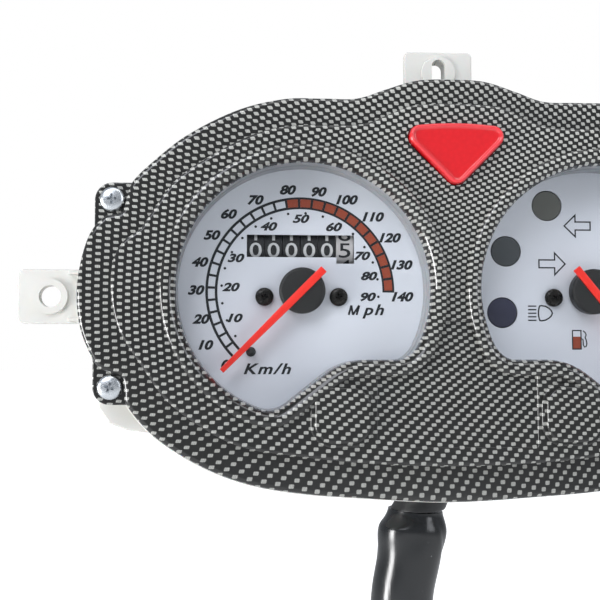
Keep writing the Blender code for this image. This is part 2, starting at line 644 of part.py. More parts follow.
def make_movement(aluminium, zinc, steel, magnet, spring_bronze):
    """Bridge, base plate, can, magnet on the cable shaft, and the cup that it drags round."""
    x = -DIAL_X
    loop = rounded_polygon([(x - 17.5 * MM, 6 * MM), (x + 17.5 * MM, 6 * MM), (x + 17.5 * MM, -6 * MM),
                            (x - 17.5 * MM, -6 * MM)], 5 * MM, 3)
    bridge = flat_solid("movement_bridge", [loop], BRIDGE_LOW, DIAL_BACK - 0.4 * MM)
    columns = [turned(f"column_{side}", rod(3.0 * MM, PLATE_TOP + GAP, BRIDGE_LOW + 1 * MM), 12,
                      x + side * DIAL_SCREW_X, DIAL_SCREW_Z) for side in (-1, 1)]
    boolean(bridge, columns, "UNION")
    bores = [turned("bridge_bearing", rod(1.15 * MM, 0, 16 * MM), 12, x, DIAL_Z)]
    for side in (-1, 1):
        bore = rod(DIAL_SHANK_R + 0.2 * MM, 3 * MM, 16 * MM)
        bores.append(turned(f"bridge_thread_{side}", bore, 10, x + side * DIAL_SCREW_X, DIAL_SCREW_Z))
    finish(boolean(bridge, bores), zinc, smooth=False)

    plate = turned("movement_plate", pipe(20 * MM, 1.15 * MM, PLATE_LOW, PLATE_TOP), 24, x, DIAL_Z)
    lugs = [turned(f"plate_lug_{side}", rod(4.5 * MM, PLATE_LOW, PLATE_TOP), 14, x + side * MOUNT_POST_X,
                   MOUNT_POST_Z) for side in (-1, 1)]
    webs = [block(f"plate_web_{side}", min(x, x + side * MOUNT_POST_X) + (side > 0) * 12 * MM,
                  max(x, x + side * MOUNT_POST_X) - (side < 0) * 12 * MM, MOUNT_POST_Z - 4.5 * MM,
                  MOUNT_POST_Z + 4.5 * MM, PLATE_LOW, PLATE_TOP) for side in (-1, 1)]
    boolean(plate, lugs + webs, "UNION")
    boolean(plate, [block("drum_notch", x - 30 * MM, x + 30 * MM, 5.4 * MM, 30 * MM, PLATE_LOW - MM,
                          PLATE_TOP + MM)])
    holes = [turned(f"lug_hole_{side}", rod(1.7 * MM, PLATE_LOW - 2 * MM, PLATE_TOP + 2 * MM), 10,
                    x + side * MOUNT_POST_X, MOUNT_POST_Z) for side in (-1, 1)]
    finish(boolean(plate, holes), zinc, smooth=False)

    can = [(15.2 * MM, -8.8 * MM), (17.2 * MM, -8.8 * MM), (17.2 * MM, -18.4 * MM), (2.2 * MM, -18.4 * MM),
           (2.2 * MM, -16.6 * MM), (15.2 * MM, -16.6 * MM)]
    finish(turned("movement_can", can, 24, x, DIAL_Z), zinc)
    cup = [(0, SPINDLE_TOP), (SPINDLE_R, SPINDLE_TOP), (SPINDLE_R, -9.4 * MM), (13.2 * MM, -9.4 * MM),
           (13.2 * MM, -15.6 * MM), (12.5 * MM, -15.6 * MM), (12.5 * MM, -10.1 * MM), (SPINDLE_R, -10.1 * MM),
           (SPINDLE_R, -10.7 * MM), (0, -10.7 * MM)]
    finish(turned("speed_cup_spindle", cup, 24, x, DIAL_Z), aluminium)
    finish(turned("drive_magnet", pipe(11.6 * MM, 1.9 * MM, -15.0 * MM, -11.2 * MM), 24, x, DIAL_Z), magnet)
    shaft = [(0, -11.0 * MM), (1.6 * MM, -11.0 * MM), (1.6 * MM, -19.6 * MM)]
    shaft += worm_profile(3.0 * MM, 2.2 * MM, -25.6 * MM, -19.6 * MM, 2.0 * MM)
    shaft += [(1.6 * MM, -25.6 * MM), (1.6 * MM, -40 * MM), (0, -40 * MM)]
    finish(turned("drive_shaft", shaft, 10, x, DIAL_Z), steel)
    turns = 3.25
    steps = 40
    points = []
    for i in range(steps + 1):
        share = i / steps
        angle = 2 * math.pi * turns * share
        radius = (2.0 + 5.0 * share) * MM
        points.append((radius * math.cos(angle), radius * math.sin(angle), 0))
    spring = wire("hairspring", points, 0.22 * MM, 0)
    face_rider(spring, x, DIAL_Z, 7.6 * MM)
    finish(solid_from_curve(spring), spring_bronze)


def make_cable_boss(zinc):
    """Threaded zinc tube that takes the speedometer cable's nut, screwed to the tub's back wall."""
    flange_low = HOUSING_BACK + WALL + GAP
    profile = [(CABLE_BORE_FRONT, flange_low + 2 * MM), (10 * MM, flange_low + 2 * MM), (10 * MM, flange_low),
               (CABLE_TUBE_R, flange_low)]
    thread_top = -33 * MM
    for i in range(5):
        top = thread_top - i * 2.2 * MM
        profile += [(CABLE_TUBE_R, top), (CABLE_TUBE_R - 0.6 * MM, top - 1.1 * MM)]
    profile += [(CABLE_TUBE_R, CABLE_END), (CABLE_BORE, CABLE_END), (CABLE_BORE, -36 * MM),
                (CABLE_BORE_FRONT, -36 * MM)]
    return finish(turned("cable_boss", profile, 16, -DIAL_X, DIAL_Z), zinc, smooth=False)


def make_odometer(black_drum, white_drum, steel, nylon, zinc):
    """Six digit drums on an axle, carry pinions behind them, and their frame and gear train."""
    for i in range(DRUM_COUNT):
        place = WINDOW_LEFT + DRUM_PITCH * (i + 0.5)
        profile = pipe(DRUM_R, AXLE_R + GAP, -DRUM_WIDTH / 2, DRUM_WIDTH / 2)
        drum = turned(f"odometer_drum_{i + 1}", profile, 16)
        along_x(drum, place, AXLE_Z, AXLE_HEIGHT)
        finish(drum, white_drum if i == DRUM_COUNT - 1 else black_drum)
    gear_loops = [gear_outline(DRUM_TEETH, 7.8 * MM, 1.0 * MM), arc(0, 0, AXLE_R + 0.5 * MM, 0, 330, 11)]
    gear = flat_solid("tenths_gear", gear_loops, -1.4 * MM, 1.4 * MM)
    boolean(drum, [along_x(gear, WINDOW_RIGHT + 1.0 * MM, AXLE_Z, AXLE_HEIGHT)], "UNION")
    axle = turned("odometer_axle", rod(AXLE_R, -24.4 * MM, 24.6 * MM), 12)
    finish(along_x(axle, ODOMETER_MID, AXLE_Z, AXLE_HEIGHT), steel)
    carrier = along_x(turned("carry_pinion_shaft", rod(0.6 * MM, -24.4 * MM, 24.6 * MM), 6), ODOMETER_MID,
                      CARRY_Z, CARRY_HEIGHT)
    pinions = []
    for i in range(1, DRUM_COUNT):
        pinion = flat_solid(f"carry_pinion_{i}", [gear_outline(6, 2.1 * MM, 0.7 * MM)], -1.4 * MM, 1.4 * MM)
        pinions.append(along_x(pinion, WINDOW_LEFT + DRUM_PITCH * i, CARRY_Z, CARRY_HEIGHT))
    finish(boolean(carrier, pinions, "UNION"), nylon, smooth=False)
    cheek_loop = [(ODOMETER_MID - 25 * MM, 23 * MM), (ODOMETER_MID + 25.2 * MM, 23 * MM),
                  (ODOMETER_MID + 25.2 * MM, 6 * MM), (ODOMETER_MID - 25 * MM, 6 * MM)]
    frame = flat_solid("odometer_frame", [cheek_loop], FRAME_BACK, 9 * MM)
    inside = block("frame_inside", ODOMETER_MID - 23.6 * MM, ODOMETER_MID + 23.8 * MM, 0, 30 * MM,
                   FRAME_BACK + 1.1 * MM, 12 * MM)
    boolean(frame, [inside])
    bores = []
    axes = [(AXLE_R, AXLE_Z, AXLE_HEIGHT), (0.6 * MM, CARRY_Z, CARRY_HEIGHT)]
    for number, (radius, up, height) in enumerate(axes):
        bore = turned(f"frame_bore_{number}", rod(radius + 0.15 * MM, -30 * MM, 30 * MM), 12)
        bores.append(along_x(bore, ODOMETER_MID, up, height))
    finish(boolean(frame, bores), zinc, smooth=False)

    cross = [(0, 15 * MM), (1.0 * MM, 15 * MM), (1.0 * MM, 11.0 * MM)]
    cross += worm_profile(2.4 * MM, 1.7 * MM, 5.0 * MM, 11.0 * MM, 2.0 * MM)
    cross += [(1.0 * MM, 5.0 * MM), (1.0 * MM, -17 * MM), (0, -17 * MM)]
    cross_shaft = along_x(turned("cross_shaft", cross, 8), CROSS_X, CROSS_Z, WORM_HEIGHT)
    wheel = flat_solid("worm_wheel", [gear_outline(CROSS_TEETH, 3.2 * MM, 0.8 * MM)], -2 * MM, 2 * MM)
    boolean(cross_shaft, [along_x(wheel, -DIAL_X, CROSS_Z, WORM_HEIGHT)], "UNION")
    finish(cross_shaft, nylon, smooth=False)
    transfer = [(0, 8.6 * MM), (1.0 * MM, 8.6 * MM), (1.0 * MM, 7.4 * MM)]
    transfer += worm_profile(2.0 * MM, 1.4 * MM, 1.4 * MM, 7.4 * MM, 2.0 * MM)
    transfer += [(1.0 * MM, 1.4 * MM), (1.0 * MM, -26.5 * MM), (0, -26.5 * MM)]
    transfer_shaft = turned("transfer_shaft", transfer, 8, TRANSFER_X, TRANSFER_Z)
    loop = [p + Vector((TRANSFER_X, TRANSFER_Z)) for p in gear_outline(TRANSFER_TEETH, 16.8 * MM, 1.4 * MM)]
    wheel = flat_solid("transfer_wheel", [loop], WORM_HEIGHT - 1.6 * MM, WORM_HEIGHT + 1.6 * MM)
    finish(boolean(transfer_shaft, [wheel], "UNION"), nylon, smooth=False)


# ---------------------------------------------------------------- fuel gauge

def make_fuel_gauge(grey, copper, magnet, brass):
    """Crossed-coil gauge: can, coil, rotor on the pointer's spindle, terminal board and studs."""
    x = DIAL_X
    can = turned("fuel_gauge_can", [(1.15 * MM, 12.6 * MM), (16.5 * MM, 12.6 * MM), (16.5 * MM, -8 * MM),
                                    (15.3 * MM, -8 * MM), (15.3 * MM, 11.1 * MM), (1.15 * MM, 11.1 * MM)],
                 24, x, DIAL_Z)
    threads = [turned(f"can_thread_{side}", rod(DIAL_SHANK_R + 0.2 * MM, 8 * MM, 16 * MM), 10,
                      x + side * DIAL_SCREW_X, DIAL_SCREW_Z) for side in (-1, 1)]
    finish(boolean(can, threads), grey, smooth=False)
    finish(turned("fuel_coil", pipe(10.8 * MM, 6.4 * MM, -4 * MM, 8 * MM), 16, x, DIAL_Z), copper)
    rotor = [(0, SPINDLE_TOP), (SPINDLE_R, SPINDLE_TOP), (SPINDLE_R, 4 * MM), (5.2 * MM, 4 * MM),
             (5.2 * MM, 0), (SPINDLE_R, 0), (SPINDLE_R, -3 * MM), (0, -3 * MM)]
    finish(turned("fuel_rotor_spindle", rotor, 16, x, DIAL_Z), magnet)
    board = turned("terminal_board", rod(14.9 * MM, -7.6 * MM, -6.2 * MM), 20, x, DIAL_Z)
    studs = [turned(f"stud_{i}", rod(STUD_R, -13 * MM, -6.8 * MM), 10, *spot)
             for i, spot in enumerate(stud_spots())]
    finish(boolean(board, studs, "UNION"), brass, smooth=False)


def stud_spots():
    """Three terminal studs on a triangle behind the fuel gauge."""
    return [(DIAL_X + 9 * MM * math.cos(a), DIAL_Z + 9 * MM * math.sin(a))
            for a in (math.radians(90), math.radians(210), math.radians(330))]


# ---------------------------------------------------------------- lamps

def lamp_spots():
    """Every lamp socket in the tub's back wall, in mm."""
    return WARNING_SPOTS + DIAL_LAMP_SPOTS + [TRIANGLE_LAMP_SPOT]


def make_lamps(black_rubber, tube_black, filters):
    """Bulbs in rubber sockets through the back wall, a light tube block and the coloured filters."""
    back = HOUSING_BACK
    low = back + 5 * MM
    lamp = [(0, low + 15 * MM), (1.7 * MM, low + 14.3 * MM), (2.9 * MM, low + 12 * MM),
            (3.1 * MM, low + 9 * MM), (2.4 * MM, low + 4 * MM), (2.4 * MM, low),
            (LAMP_PLUG_R, low), (LAMP_PLUG_R, back - GAP),
            (7 * MM, back - GAP), (7 * MM, back - 2.4 * MM), (4.6 * MM, back - 3.2 * MM),
            (4.2 * MM, back - 6 * MM), (0, back - 6 * MM)]
    for name, (x, up) in zip(LAMP_NAMES, lamp_spots()):
        finish(turned(name, lamp, 10, x * MM, up * MM), black_rubber)
    spots = [Vector(spot) * MM for spot in WARNING_SPOTS]
    tubes = [turned(f"light_tube_{i}", rod(6.9 * MM, back + WALL + GAP, DIAL_BACK - GAP), 14, *spot)
             for i, spot in enumerate(spots)]
    webs = []
    for start, end in zip(spots, spots[1:]):
        across = (end - start).normalized() * MM
        side = Vector((-across.y, across.x))
        loop = [start + side, end + side, end - side, start - side]
        webs.append(flat_solid(f"tube_web_{len(webs)}", [loop], back + WALL + 2 * MM, DIAL_BACK - 3 * MM))
    boolean(tubes[0], tubes[1:] + webs, "UNION")
    tubes[0].name = "light_tubes"
    bores = [turned(f"light_bore_{i}", rod(5.9 * MM, back, 20 * MM), 14, *spot)
             for i, spot in enumerate(spots)]
    finish(boolean(tubes[0], bores), tube_black, smooth=False)
    names = ("left_turn_filter", "right_turn_filter", "high_beam_filter")
    for name, (x, up), paint in zip(names, spots, filters):
        disc = turned(name, rod(FILTER_R, DIAL_BACK + 0.1 * MM, DIAL_TOP - 0.1 * MM), 16, x, up)
        finish(disc, paint)


# ---------------------------------------------------------------- fasteners

def make_screws(zinc, black_zinc):
    """Bezel screws in the ears, and two black screws through each dial."""
    for side, side_name in ((-1, "left"), (1, "right")):
        for (x, up), level in zip(EARS, ("upper", "lower")):
            name = f"bezel_screw_{side_name}_{level}"
            screw = pan_screw(name, side * x, up, SCREW_HEAD_R, 2.6 * MM, SCREW_SHANK_R, EAR_TOP + GAP,
                              5 * MM)
            finish(screw, zinc, smooth=False)
        gauge = "speedometer" if side < 0 else "fuel"
        low = 4 * MM if side < 0 else 9 * MM
        for offset, which in ((-DIAL_SCREW_X, "left"), (DIAL_SCREW_X, "right")):
            screw = pan_screw(f"{gauge}_dial_screw_{which}", side * DIAL_X + offset, DIAL_SCREW_Z, 3.2 * MM,
                              1.9 * MM, DIAL_SHANK_R, DIAL_TOP + GAP, low)
            finish(screw, black_zinc, smooth=False)


# ---------------------------------------------------------------- harness

def wire(name, points, radius, resolution):
    """A round wire through the given points."""
    curve = bpy.data.curves.new(name, "CURVE")
    curve.dimensions = "3D"
    curve.bevel_depth = radius
    curve.bevel_resolution = resolution
    curve.use_fill_caps = True
    spline = curve.splines.new("POLY")
    spline.points.add(len(points) - 1)
    for point, place in zip(spline.points, points):
        point.co = (*place, 1)
    return new_object(name, curve)


def smooth_route(route, pieces):
    """Read points from a Catmull-Rom curve through a route given in mm."""
    keys = [Vector(point) * MM for point in route]
    keys = [keys[0] * 2 - keys[1]] + keys + [keys[-1] * 2 - keys[-2]]
    points = []
    for i in range(1, len(keys) - 2):
        a, b, c, d = keys[i - 1:i + 3]
        for step in range(pieces):
            t = step / pieces
            point = (b * 2 + (c - a) * t + (a * 2 - b * 5 + c * 4 - d) * t ** 2
                     + (b * 3 - a - c * 3 + d) * t ** 3) / 2
            points.append(point)
    return points + [keys[-2]]


def make_harness(rubber, vinyl, nylon_black, wire_black):
    """Rubber boot in the tub's underside, wires, the hanging sleeve, and the plug at its end."""
    wall_out = -67.3 * MM
    wall_in = -65.1 * MM
    profile = [(6.8 * MM, wall_in + 2.5 * MM), (BOOT_NECK_R + 1.5 * MM, wall_in + 2.5 * MM),
               (BOOT_NECK_R + 1.5 * MM, wall_in + 1 * MM), (BOOT_NECK_R, wall_in + 1 * MM),
               (BOOT_NECK_R, wall_out - GAP),
               (12.5 * MM, wall_out - GAP), (12.5 * MM, wall_out - 3 * MM), (9.8 * MM, wall_out - 5 * MM),
               (9.2 * MM, -79 * MM), (6.8 * MM, -79 * MM)]
    boot = turned("harness_boot", profile, 16)
    boot.rotation_euler = (0, 0, 0)
    boot.location = (0, -HARNESS_HEIGHT, 0)
    finish(boot, rubber)
    finish(solid_from_curve(wire("wire_loom", smooth_route(LOOM_ROUTE, 2), 2.6 * MM, 2)), wire_black)
    finish(solid_from_curve(wire("harness_sleeve", smooth_route(SLEEVE_ROUTE, 2), SLEEVE_R, 4)), vinyl)
    end = Vector(SLEEVE_ROUTE[-1]) * MM
    half_x = 14 * MM
    half_y = 9 * MM
    loop = [(-half_x, half_y), (half_x, half_y), (half_x, -half_y), (-half_x, -half_y)]
    plug = flat_solid("harness_plug", [loop], 0, PLUG_LENGTH, 0.8 * MM)
    cavities = []
    for column in range(4):
        for row in range(2):
            x = (column - 1.5) * 6.2 * MM
            y = (row - 0.5) * 7.2 * MM
            loop = [(x - 1.3 * MM, y + 1.5 * MM), (x + 1.3 * MM, y + 1.5 * MM), (x + 1.3 * MM, y - 1.5 * MM),
                    (x - 1.3 * MM, y - 1.5 * MM)]
            cavities.append(flat_solid(f"plug_cavity_{column}_{row}", [loop], -3 * MM, PLUG_LENGTH * 0.7))
    for piece in [plug] + cavities:
        offset = piece.location.copy()
        piece.rotation_euler = (0, 0, 0)
        piece.location = (end.x, end.y, end.z - GAP - PLUG_LENGTH - offset.y)
    boolean(plug, cavities)
    finish(plug, nylon_black, smooth=False)


def main():
    """Build the cluster."""
    start_scene()
    white = material("White ABS", (0.80, 0.80, 0.77), 0.45)
    charcoal = material("Printed lacquered ABS", (0.05, 0.05, 0.052), 0.22)
    rubber = material("Black rubber", (0.02, 0.02, 0.022), 0.7)
    red = material("Red acrylic", (0.68, 0.008, 0.015), 0.18)
    needle_red = material("Red pointer", (0.85, 0.03, 0.015), 0.4)
    clear = material("Clear polycarbonate", (0.9, 0.92, 0.94), 0.05, alpha=0.25)
    print_white = material("Printed dial", (0.70, 0.74, 0.80), 0.5)
    black = material("Black moulded plastic", (0.012, 0.012, 0.013), 0.35)
    steel = material("Steel", (0.6, 0.6, 0.6), 0.3, 1.0)
    zinc = material("Zinc plate", (0.62, 0.64, 0.66), 0.28, 1.0)
    black_zinc = material("Black screw finish", (0.02, 0.02, 0.022), 0.4, 0.6)
    aluminium = material("Aluminium", (0.75, 0.75, 0.76), 0.35, 1.0)
    magnet = material("Ferrite magnet", (0.05, 0.05, 0.055), 0.6)
    bronze = material("Spring bronze", (0.45, 0.28, 0.12), 0.3, 1.0)
    white_drum = material("White drum", (0.62, 0.62, 0.62), 0.5)
    nylon = material("Nylon", (0.75, 0.74, 0.68), 0.5)
    copper = material("Copper winding", (0.5, 0.2, 0.08), 0.35, 1.0)
    brass = material("Brass", (0.6, 0.42, 0.15), 0.3, 1.0)
    grey = material("Grey plastic", (0.3, 0.3, 0.3), 0.5)
    vinyl = material("Black vinyl", (0.008, 0.008, 0.009), 0.25)
    olive = material("Smoked amber filter", (0.15, 0.15, 0.13), 0.3)
    smoke = material("Smoked green filter", (0.08, 0.08, 0.09), 0.3)
    navy = material("Blue filter", (0.035, 0.037, 0.075), 0.3)

    make_rear_housing(white)
    make_front_bezel(charcoal)
    make_gasket(rubber)
    make_warning_lens(red)
    make_dial_stack(-1, "speedometer", clear, white, print_white)
    make_dial_stack(1, "fuel", clear, white, print_white)
    make_pointer("speedometer", -DIAL_X, SPEED_REST, needle_red, black)
    make_pointer("fuel", DIAL_X, FUEL_REST, needle_red, black)
    make_stop_pin(black)
    make_movement(aluminium, zinc, steel, magnet, bronze)
    make_cable_boss(zinc)
    make_odometer(black, white_drum, steel, nylon, zinc)
    make_fuel_gauge(grey, copper, magnet, brass)
    make_lamps(rubber, black, (olive, smoke, navy))
    make_screws(zinc, black_zinc)
    make_harness(rubber, vinyl, nylon, black)


main()
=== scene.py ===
"""Scooter instrument cluster: its finished pieces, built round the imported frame.

Units are metres. The frame's +X is to the rider's right, +Z up, and the dials face -Y. Heights towards the
rider are measured from the rear plane of the mounting tabs, so a height h lies at Y = -h.
"""
import math

import bmesh
import bpy
from mathutils import Matrix, Vector, noise


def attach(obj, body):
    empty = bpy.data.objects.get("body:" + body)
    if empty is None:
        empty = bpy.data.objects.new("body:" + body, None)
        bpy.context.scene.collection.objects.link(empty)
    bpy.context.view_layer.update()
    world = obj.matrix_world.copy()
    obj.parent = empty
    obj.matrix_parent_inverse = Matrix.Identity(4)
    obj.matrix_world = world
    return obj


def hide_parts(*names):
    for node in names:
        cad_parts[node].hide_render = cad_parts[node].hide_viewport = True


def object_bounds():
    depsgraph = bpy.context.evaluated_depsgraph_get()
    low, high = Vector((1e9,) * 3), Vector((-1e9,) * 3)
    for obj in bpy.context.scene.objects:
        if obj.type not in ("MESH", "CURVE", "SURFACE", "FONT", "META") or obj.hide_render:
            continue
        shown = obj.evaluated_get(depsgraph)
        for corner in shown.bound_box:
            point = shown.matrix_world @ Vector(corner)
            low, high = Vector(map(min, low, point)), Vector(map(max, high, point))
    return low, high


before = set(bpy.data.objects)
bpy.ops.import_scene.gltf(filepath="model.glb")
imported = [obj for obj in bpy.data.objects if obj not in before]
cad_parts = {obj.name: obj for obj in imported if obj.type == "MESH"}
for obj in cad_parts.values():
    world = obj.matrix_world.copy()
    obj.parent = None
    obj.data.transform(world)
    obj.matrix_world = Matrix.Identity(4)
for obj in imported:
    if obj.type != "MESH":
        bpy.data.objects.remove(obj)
cad_low, cad_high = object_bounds()
MM = 0.001

# ------------------------------------------------------------------------------------------------
# Studio: a pale floor under the cluster, soft light from the left, above and the right, and the
# camera a little left of the speedometer and a little below it.
# ------------------------------------------------------------------------------------------------


def linear(hex_colour):
    """A hex sRGB colour as a linear RGBA tuple."""
    parts = [int(hex_colour[i:i + 2], 16) / 255 for i in (1, 3, 5)]
    return tuple(p / 12.92 if p < 0.04045 else ((p + 0.055) / 1.055) ** 2.4 for p in parts) + (1.0,)


def add_node(tree, kind, inputs=None, **settings):
    """Add a shader node; each input, by name or number, is a value, a socket, or a node's first result."""
    made = tree.nodes.new("ShaderNode" + kind)
    for key, value in settings.items():
        setattr(made, key, value)
    for key, value in (inputs or {}).items():
        if isinstance(value, bpy.types.Node):
            value = value.outputs[0]
        if isinstance(value, bpy.types.NodeSocket):
            tree.links.new(value, made.inputs[key])
        else:
            made.inputs[key].default_value = value
    return made


def new_material(name, **constants):
    """A material with a Principled shader whose sockets take the constants: (material, tree, shader)."""
    made = bpy.data.materials.new(name)
    made.use_nodes = True
    shader = made.node_tree.nodes["Principled BSDF"]
    for key, value in constants.items():
        shader.inputs[key.replace("_", " ")].default_value = value
    return made, made.node_tree, shader


CAMERA_PLACE = (-0.0730, -0.340, -0.0197)
CAMERA_YAW = math.radians(3.68)
CAMERA_PITCH = math.radians(3.18)
bpy.ops.object.camera_add(location=CAMERA_PLACE, rotation=(math.pi / 2 + CAMERA_PITCH, 0, -CAMERA_YAW))
camera = bpy.context.object
camera.data.sensor_width = 36.0
camera.data.lens = 56.0
camera.data.clip_start = 0.01
bpy.context.scene.camera = camera
bpy.context.scene.view_settings.view_transform = "Standard"

bpy.ops.mesh.primitive_plane_add(size=30.0, location=(0, 0, cad_low.z - 0.02))
floor = bpy.context.object
floor.name = "floor"
paper, tree, shader = new_material("Pale backing paper", Roughness=0.9)
paths = add_node(tree, "LightPath")
glow = add_node(tree, "Math", {0: paths.outputs["Is Camera Ray"], 1: 0.72, 2: 0.13},
                operation="MULTIPLY_ADD")
tree.links.new(glow.outputs[0], shader.inputs["Emission Strength"])
shader.inputs["Base Color"].default_value = linear("#F3F3F2")
shader.inputs["Emission Color"].default_value = linear("#FFFFFF")
floor.data.materials.append(paper)

world = bpy.data.worlds.new("Studio")
bpy.context.scene.world = world
world.use_nodes = True
tree = world.node_tree
tree.nodes.clear()
paths = add_node(tree, "LightPath")
seen = add_node(tree, "Background", {"Color": (1, 1, 1, 1), "Strength": 1.0})
room = add_node(tree, "Background", {"Color": linear("#E9EEF6"), "Strength": 0.44})
mixed = add_node(tree, "MixShader", {0: paths.outputs["Is Camera Ray"], 1: room, 2: seen})
add_node(tree, "OutputWorld", {"Surface": mixed})

CLUSTER_MIDDLE = Vector((-0.02, -0.03, 0.0))
SOFTBOXES = [("left_softbox", (-0.95, -0.36, -0.42), 0.32, 1.1, 24.0, "#FFFFFF"),
             ("top_softbox", (0.15, -0.45, 1.10), 1.1, 0.4, 4.0, "#FFFFFF"),
             ("right_softbox", (1.05, -0.75, 0.45), 0.5, 0.9, 4.5, "#F6F9FF"),
             ("front_fill", (-0.75, -1.25, 1.0), 0.9, 0.9, 13.5, "#F4F7FF")]
for name, place, width, height, power, colour in SOFTBOXES:
    bpy.ops.object.light_add(type="AREA", location=place)
    lamp = bpy.context.object
    lamp.name = name
    lamp.rotation_euler = (CLUSTER_MIDDLE - Vector(place)).to_track_quat("-Z", "Y").to_euler()
    lamp.data.shape = "RECTANGLE"
    lamp.data.size = width
    lamp.data.size_y = height
    lamp.data.energy = power
    lamp.data.color = linear(colour)[:3]

# ------------------------------------------------------------------------------------------------
# Bezel: an ABS cover, dip-printed with a pale woven-look checker on near-black and sprayed with
# thick clear lacquer. A flange, a raised plateau, a rolled lip round each dial, two blank pads.
# ------------------------------------------------------------------------------------------------
PLATEAU_TOP = 30.0 * MM
FLANGE_TOP = 24.5 * MM
EAR_TOP = 21.3 * MM
RIM_TOP = 18.0 * MM
SHELL_WALL = 2.2 * MM
WELD = 1e-6
DIAL_X = 51.5 * MM
DIAL_Z = 1.5 * MM
OPENING_R = 42.8 * MM
SILL_Z = -22.3 * MM
EARS = [(116.4 * MM, 32.0 * MM), (116.6 * MM, -31.6 * MM)]
# From the top centre down one side to the bottom centre: (distance from the centre plane, up) in mm
FLANGE_HALF = [(0, 75.2), (12, 74.6), (23, 71.2), (33, 67.9), (45, 67.7), (58, 67.3), (74, 63.2),
               (91, 54.4), (103, 44.7), (109.5, 38), (111.2, 33.2), (113.2, 27.6), (118.8, 26.0),
               (124.4, 18.5), (127.8, 3), (126.6, -11.5), (121.5, -23.4), (117.8, -26.3),
               (112.9, -28.0), (111.7, -32.6), (110.6, -38), (101.5, -48.2), (87, -57.6), (71, -64),
               (53, -67.4), (30, -69.3), (0, -70.8)]
PLATEAU_HALF = [(0, 65), (14, 64.2), (22, 61.3), (30, 57.9), (40, 56.8), (53, 56.8), (66, 54.4),
                (80, 47.8), (94, 38.2), (102, 27.5), (106, 21.4), (112, 16.6), (115.2, 9.5),
                (115.5, -2), (112.5, -13.5), (105, -25), (97, -36), (85, -45), (72, -51.3), (55, -54.2),
                (30, -56.9), (0, -58)]


def mirrored(half):
    """Close a half outline, given in mm, across the centre plane: a clockwise loop."""
    right = [Vector(point) * MM for point in half]
    return right + [Vector((-point.x, point.y)) for point in reversed(right[1:-1])]


def smoothed(keys, steps=7):
    """A smooth closed curve through the points of a loop."""
    points = []
    for i in range(len(keys)):
        before, start, end, after = (keys[(i + k) % len(keys)] for k in (-1, 0, 1, 2))
        for step in range(steps):
            t = step / steps
            square = (before * 2 - start * 5 + end * 4 - after) * t ** 2
            cube = (start * 3 - before - end * 3 + after) * t ** 3
            points.append((start * 2 + (end - before) * t + square + cube) / 2)
    return points


def grown(loop, distance):
    """Offset a clockwise loop outwards, or inwards when the distance is negative."""
    result = []
    for i, point in enumerate(loop):
        ahead = loop[(i + 1) % len(loop)] - loop[i - 1]
        result.append(point + Vector((-ahead.y, ahead.x)).normalized() * distance)
    return result


def in_metres(pairs):
    """Pairs given in mm, in metres."""
    return [(first * MM, second * MM) for first, second in pairs]


def arc(x, y, radius, start, end, steps):
    """Points of an arc, angles in degrees."""
    angles = [math.radians(start + (end - start) * i / steps) for i in range(steps + 1)]
    return [Vector((x + radius * math.cos(a), y + radius * math.sin(a))) for a in angles]


def rounded_polygon(corners, radius, steps=8):
    """Round each corner of a clockwise polygon with an arc."""
    points = []
    for i in range(len(corners)):
        corner = Vector(corners[i])
        to_last = (Vector(corners[i - 1]) - corner).normalized()
        to_next = (Vector(corners[(i + 1) % len(corners)]) - corner).normalized()
        half_angle = to_last.angle(to_next) / 2
        centre = corner + (to_last + to_next).normalized() * radius / math.sin(half_angle)
        first = corner + to_last * radius / math.tan(half_angle) - centre
        last = corner + to_next * radius / math.tan(half_angle) - centre
        sweep = first.angle_signed(last)
        start = math.atan2(first.y, first.x)
        for step in range(steps + 1):
            a = start - sweep * step / steps
            points.append(centre + Vector((math.cos(a), math.sin(a))) * radius)
    return points


def eased(start, corner, end, steps=8):
    """A smooth bend from start to end that aims for the corner between them."""
    ts = [i / steps for i in range(steps + 1)]
    return [start * (1 - t) ** 2 + corner * 2 * t * (1 - t) + end * t ** 2 for t in ts]


def opening_outline(side):
    """Dial opening, clockwise: a circle masked off below by a level sill and a slant, mirrored by side."""
    circle_end = arc(0, 0, OPENING_R, 250, 250, 1)[0]
    circle_start = arc(0, 0, OPENING_R, -26, -26, 1)[0]
    sill = SILL_Z - DIAL_Z
    slant_top = Vector((13.0 * MM, sill))
    slant_tip = Vector((-9.85 * MM, -41.7 * MM))
    sill_end = Vector((35.6 * MM, sill))
    loop = arc(0, 0, OPENING_R, -26, 250, 110)[:-1]
    loop += eased(circle_end, slant_tip, slant_tip.lerp(slant_top, 0.18))
    loop += eased(slant_tip.lerp(slant_top, 0.72), slant_top, slant_top.lerp(sill_end, 0.35))
    loop += eased(slant_top.lerp(sill_end, 0.8), sill_end, circle_start)[:-1]
    placed = [Vector((side * (DIAL_X - point.x), point.y + DIAL_Z)) for point in loop]
    return placed if side > 0 else list(reversed(placed))


def only(piece):
    """Select one object alone and make it active."""
    bpy.ops.object.select_all(action="DESELECT")
    piece.hide_set(False)
    piece.select_set(True)
    bpy.context.view_layer.objects.active = piece
    return piece


def weld(piece):
    """Merge doubled points and turn the faces outwards."""
    only(piece)
    bpy.ops.object.mode_set(mode="EDIT")
    bpy.ops.mesh.select_all(action="SELECT")
    bpy.ops.mesh.remove_doubles(threshold=WELD)
    bpy.ops.mesh.normals_make_consistent(inside=False)
    bpy.ops.object.mode_set(mode="OBJECT")
    return piece


def upright(piece, x=0.0, up=0.0, height=0.0):
    """Stand a piece drawn flat upright at its place, its local z towards the rider, and fix it there."""
    only(piece)
    piece.rotation_euler = (math.pi / 2, 0, 0)
    piece.location = (x, -height, up)
    bpy.ops.object.transform_apply(location=True, rotation=True, scale=True)
    return piece


